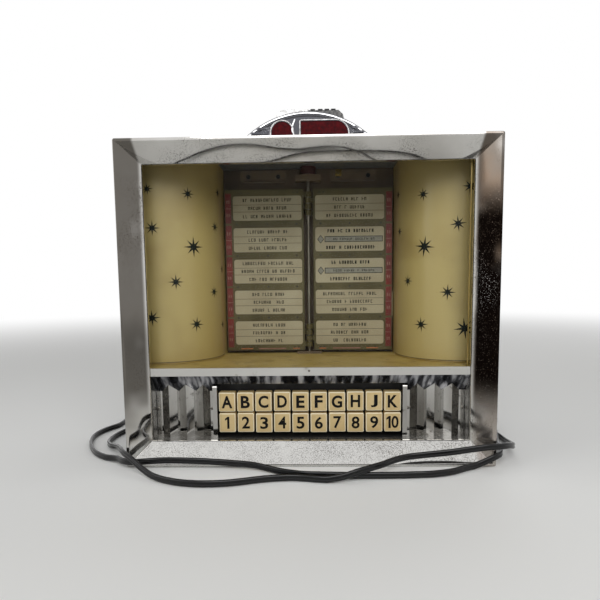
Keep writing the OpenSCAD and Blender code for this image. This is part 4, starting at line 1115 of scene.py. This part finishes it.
def screw(x, z, back, tall, r):
    """A slotted screw that stands on the face at this depth"""
    post(bm, x, (back - tall, back), z, r, finish=0, bevel=min(tall, r) * 0.45)
    a = lay.uniform(0, math.pi)
    c = at(x, back - tall - 0.01, z)
    turn = Matrix.Translation(c) @ Matrix.Rotation(a, 4, "Y")
    shape = Matrix.Diagonal((2 * r * 0.82 * MM, 0.06 * MM, 0.42 * MM, 1))
    verts = bmesh.ops.create_cube(bm, size=1, matrix=turn @ shape)["verts"]
    for f in made_of(verts)[0]:
        f.material_index = 1


for side in (-1, 1):
    for x in (86.1, 133.5):
        screw(side * x, 41.8, 31.5, 1.0, 1.4)
    screw(side * 45, 260.8, 116, 1.0, 2.1)
screw(0, 77.35, 17.95, 0.32, 1.0)
piece(bm, "slotted_screws", [screw_metal, slot_shade], takes=("small_screws",))

# %% [markdown]
# A title page is pressed sheet with five windows. The rims, the rivet dots and
# the red strip with its code marks are added in front of the plain plate, and
# each card gets its ruled lines and rows of plain bars in place of print.

# %% Page print
page_rim = worn("page_rim", between((112, 104, 80), (138, 130, 102)), 60, (0.3, 0.45))
code_red = worn("code_red", between((92, 22, 16), (124, 34, 24)), 50, (0.35, 0.5))
code_pale = worn("code_pale", between((128, 84, 70), (150, 106, 90)), 200, (0.4, 0.5))
print_ink = worn("print_ink", between((8, 7, 7), (22, 20, 18)), 300, (0.6, 0.7), level=0.1)
rivet_dark = worn("rivet_dark", between((38, 34, 26), (56, 50, 38)), 300, (0.4, 0.5))
band_orange = worn("band_orange", between((150, 84, 44), (176, 110, 66)), 80, (0.4, 0.5))
band_grey = worn("band_grey", between((128, 124, 112), (142, 138, 126)), 200, (0.5, 0.6))
PAGE_FINISHES = [page_rim, code_red, code_pale, print_ink, rivet_dark, band_orange, band_grey]
RIM, RED, PALE, INK, RIVET, ORANGE, GREY = range(7)
WINDOW_X, WINDOW_Z, WINDOW_PITCH, WINDOW_W, WINDOW_H = 41.1, 100.55, 31.3, 69, 24.4
PAGE_LOW, PAGE_HIGH, PAGE_OUT, CODE_HALF_W = 82.6, 244.1, 83.6, 2.9
FRONT_FACE, BACK_FACE, END_FACE = 108.45, 112.35, 113.25


def quad(bm, x0, x1, depth, z0, z1, finish, facing=-1):
    """One flat patch of print that looks to the front or to the back"""
    corners = [(x0, z0), (x1, z0), (x1, z1), (x0, z1)]
    if facing > 0:
        corners.reverse()
    f = bm.faces.new([bm.verts.new(at(x, depth, z)) for x, z in corners])
    f.material_index = finish


def word_row(bm, rng, x, z, depth, tall, letters, pitch, weight, facing):
    """A row of bars that stands for a line of type"""
    start = x - (letters - 1) * pitch / 2
    gap = {rng.randrange(2, letters - 2) for _ in range(max(1, letters // 6))}
    for k in range(letters):
        if k in gap:
            continue
        left = start + (k - 0.5) * pitch + 0.12 * pitch
        wide = pitch * rng.uniform(0.55, 0.78)
        low, high = z - tall / 2, z + tall / 2
        quad(bm, left, left + weight, depth, low, high, INK, facing)
        if rng.random() < 0.6:
            quad(bm, left + wide - weight, left + wide, depth, low, high, INK, facing)
        for level in rng.sample((low, z - weight / 2, high - weight), rng.choice((1, 2))):
            quad(bm, left + weight, left + wide, depth, level, level + weight * 0.8, INK, facing)


def card(bm, rng, x, z, depth, facing, bold):
    """The print of one title card, ruled in three rows or set in bold round a band"""
    half = WINDOW_W / 2 - 0.5
    if bold:
        for row in (8.2, -8.2):
            word_row(bm, rng, x + 1, z + row, depth, 3.3, rng.randrange(15, 20), 2.6, 0.8, facing)
        quad(bm, x - half + 9, x + half - 1, depth, z - 2.9, z + 2.9, INK, facing)
        quad(bm, x - half + 9.6, x + half - 1.6, depth + facing * 0.01, z - 2.3, z + 2.3, GREY,
             facing)
        word_row(bm, rng, x + 4.4, z, depth + facing * 0.02, 2.3, 19, 2.2, 0.4, facing)
        for grow, finish, lift in ((4.2, INK, 0), (3.4, GREY, 0.01)):
            d = depth + facing * lift
            ring = [(x - half + 5, z - grow), (x - half + 5 + grow * 0.8, z),
                    (x - half + 5, z + grow), (x - half + 5 - grow * 0.8, z)]
            if facing > 0:
                ring.reverse()
            bm.faces.new([bm.verts.new(at(a, d, b)) for a, b in ring]).material_index = finish
        return
    for level in (3.4, -3.4):
        quad(bm, x - half, x + half, depth, z + level - 0.16, z + level + 0.16, INK, facing)
    for row in (8.0, 0.1, -8.0):
        word_row(bm, rng, x, z + row, depth, 3.2, rng.randrange(11, 22), 2.6, 0.62, facing)


def rim(bm, x, z, depth, facing):
    """A raised bead round one window"""
    face = flat_round(bm, x, depth, z, WINDOW_W + 2.6, WINDOW_H + 2.6, 3.8, RIM)
    if facing > 0:
        face.normal_flip()
    bmesh.ops.inset_region(bm, faces=[face], thickness=0.55 * MM, depth=0.22 * MM)
    bmesh.ops.inset_region(bm, faces=[face], thickness=0.75 * MM, depth=-0.2 * MM)
    bmesh.ops.delete(bm, geom=[face], context="FACES")


def page_face(name, side, depth, facing, body, seed, bold=()):
    """The details of one face of a page; side says where its windows stand"""
    bm = bmesh.new()
    rng = random.Random(seed)
    card_depth = depth - facing * 0.1
    for k in range(5):
        z = WINDOW_Z + k * WINDOW_PITCH
        rim(bm, side * WINDOW_X, z, depth + facing * 0.01, facing)
        card(bm, rng, side * WINDOW_X, z, card_depth + facing * 0.03, facing, k in bold)
        outer = side * (PAGE_OUT - 3.4)
        low, high = outer - CODE_HALF_W, outer + CODE_HALF_W
        quad(bm, low, high, depth + facing * 0.03, z - 14.6, z + 14.6, RED, facing)
        for level in (6.5, -6.5):
            for dx in (-1.2, 0.9):
                quad(bm, outer + dx - 0.5, outer + dx + 0.5, depth + facing * 0.05,
                     z + level - 1.6, z + level + 1.6, PALE, facing)
        quad(bm, low, high, depth + facing * 0.05, z - 0.25, z + 0.25, PALE, facing)
    for k in range(4):
        z = WINDOW_Z + (k + 0.5) * WINDOW_PITCH
        for x in (12, 41.1, 72):
            dot = Matrix.Translation(at(side * x, depth + facing * 0.05, z))
            turn = Matrix.Rotation(math.radians(90), 4, "X")
            verts = bmesh.ops.create_circle(bm, cap_ends=True, segments=12, radius=0.95 * MM,
                                            matrix=dot @ turn)["verts"]
            f = verts[0].link_faces[0]
            f.material_index = RIVET
            if (f.normal.y > 0) != (facing > 0):
                f.normal_flip()
    for z in (PAGE_HIGH - 3.1, PAGE_LOW + 3.1):
        for x in (11, 15, 60, 67):
            quad(bm, side * x - 0.8, side * x + 0.8, depth + facing * 0.05, z - 0.7, z + 0.7, RIVET,
                 facing)
    for x0, x1, finish in ((10, 17, ORANGE), (24, 52, PALE), (58, 70, ORANGE)):
        low = PAGE_LOW + 1.2
        a, b = sorted((side * x0, side * x1))
        quad(bm, a, b, depth + facing * 0.03, low, low + 1.2, finish, facing)
    piece(bm, name, PAGE_FINISHES, body, recalc=False)


bm = bmesh.new()
block(bm, (83.2, 84.6), (108.9, 110.1), (116.5, 141.5), bevel=0.3)
piece(bm, "right_page_tab", [card_paper], "right_leaves")
page_face("left_front_print", -1, FRONT_FACE, -1, "left_leaves", 21)
page_face("right_front_print", 1, FRONT_FACE, -1, "right_leaves", 22, bold=(2, 3))
page_face("left_back_print", -1, BACK_FACE, 1, "left_leaves", 23)
page_face("right_back_print", 1, BACK_FACE, 1, "right_leaves", 24)
page_face("left_end_print", -1, END_FACE, -1, "case", 25)
page_face("right_end_print", 1, END_FACE, -1, "case", 26)
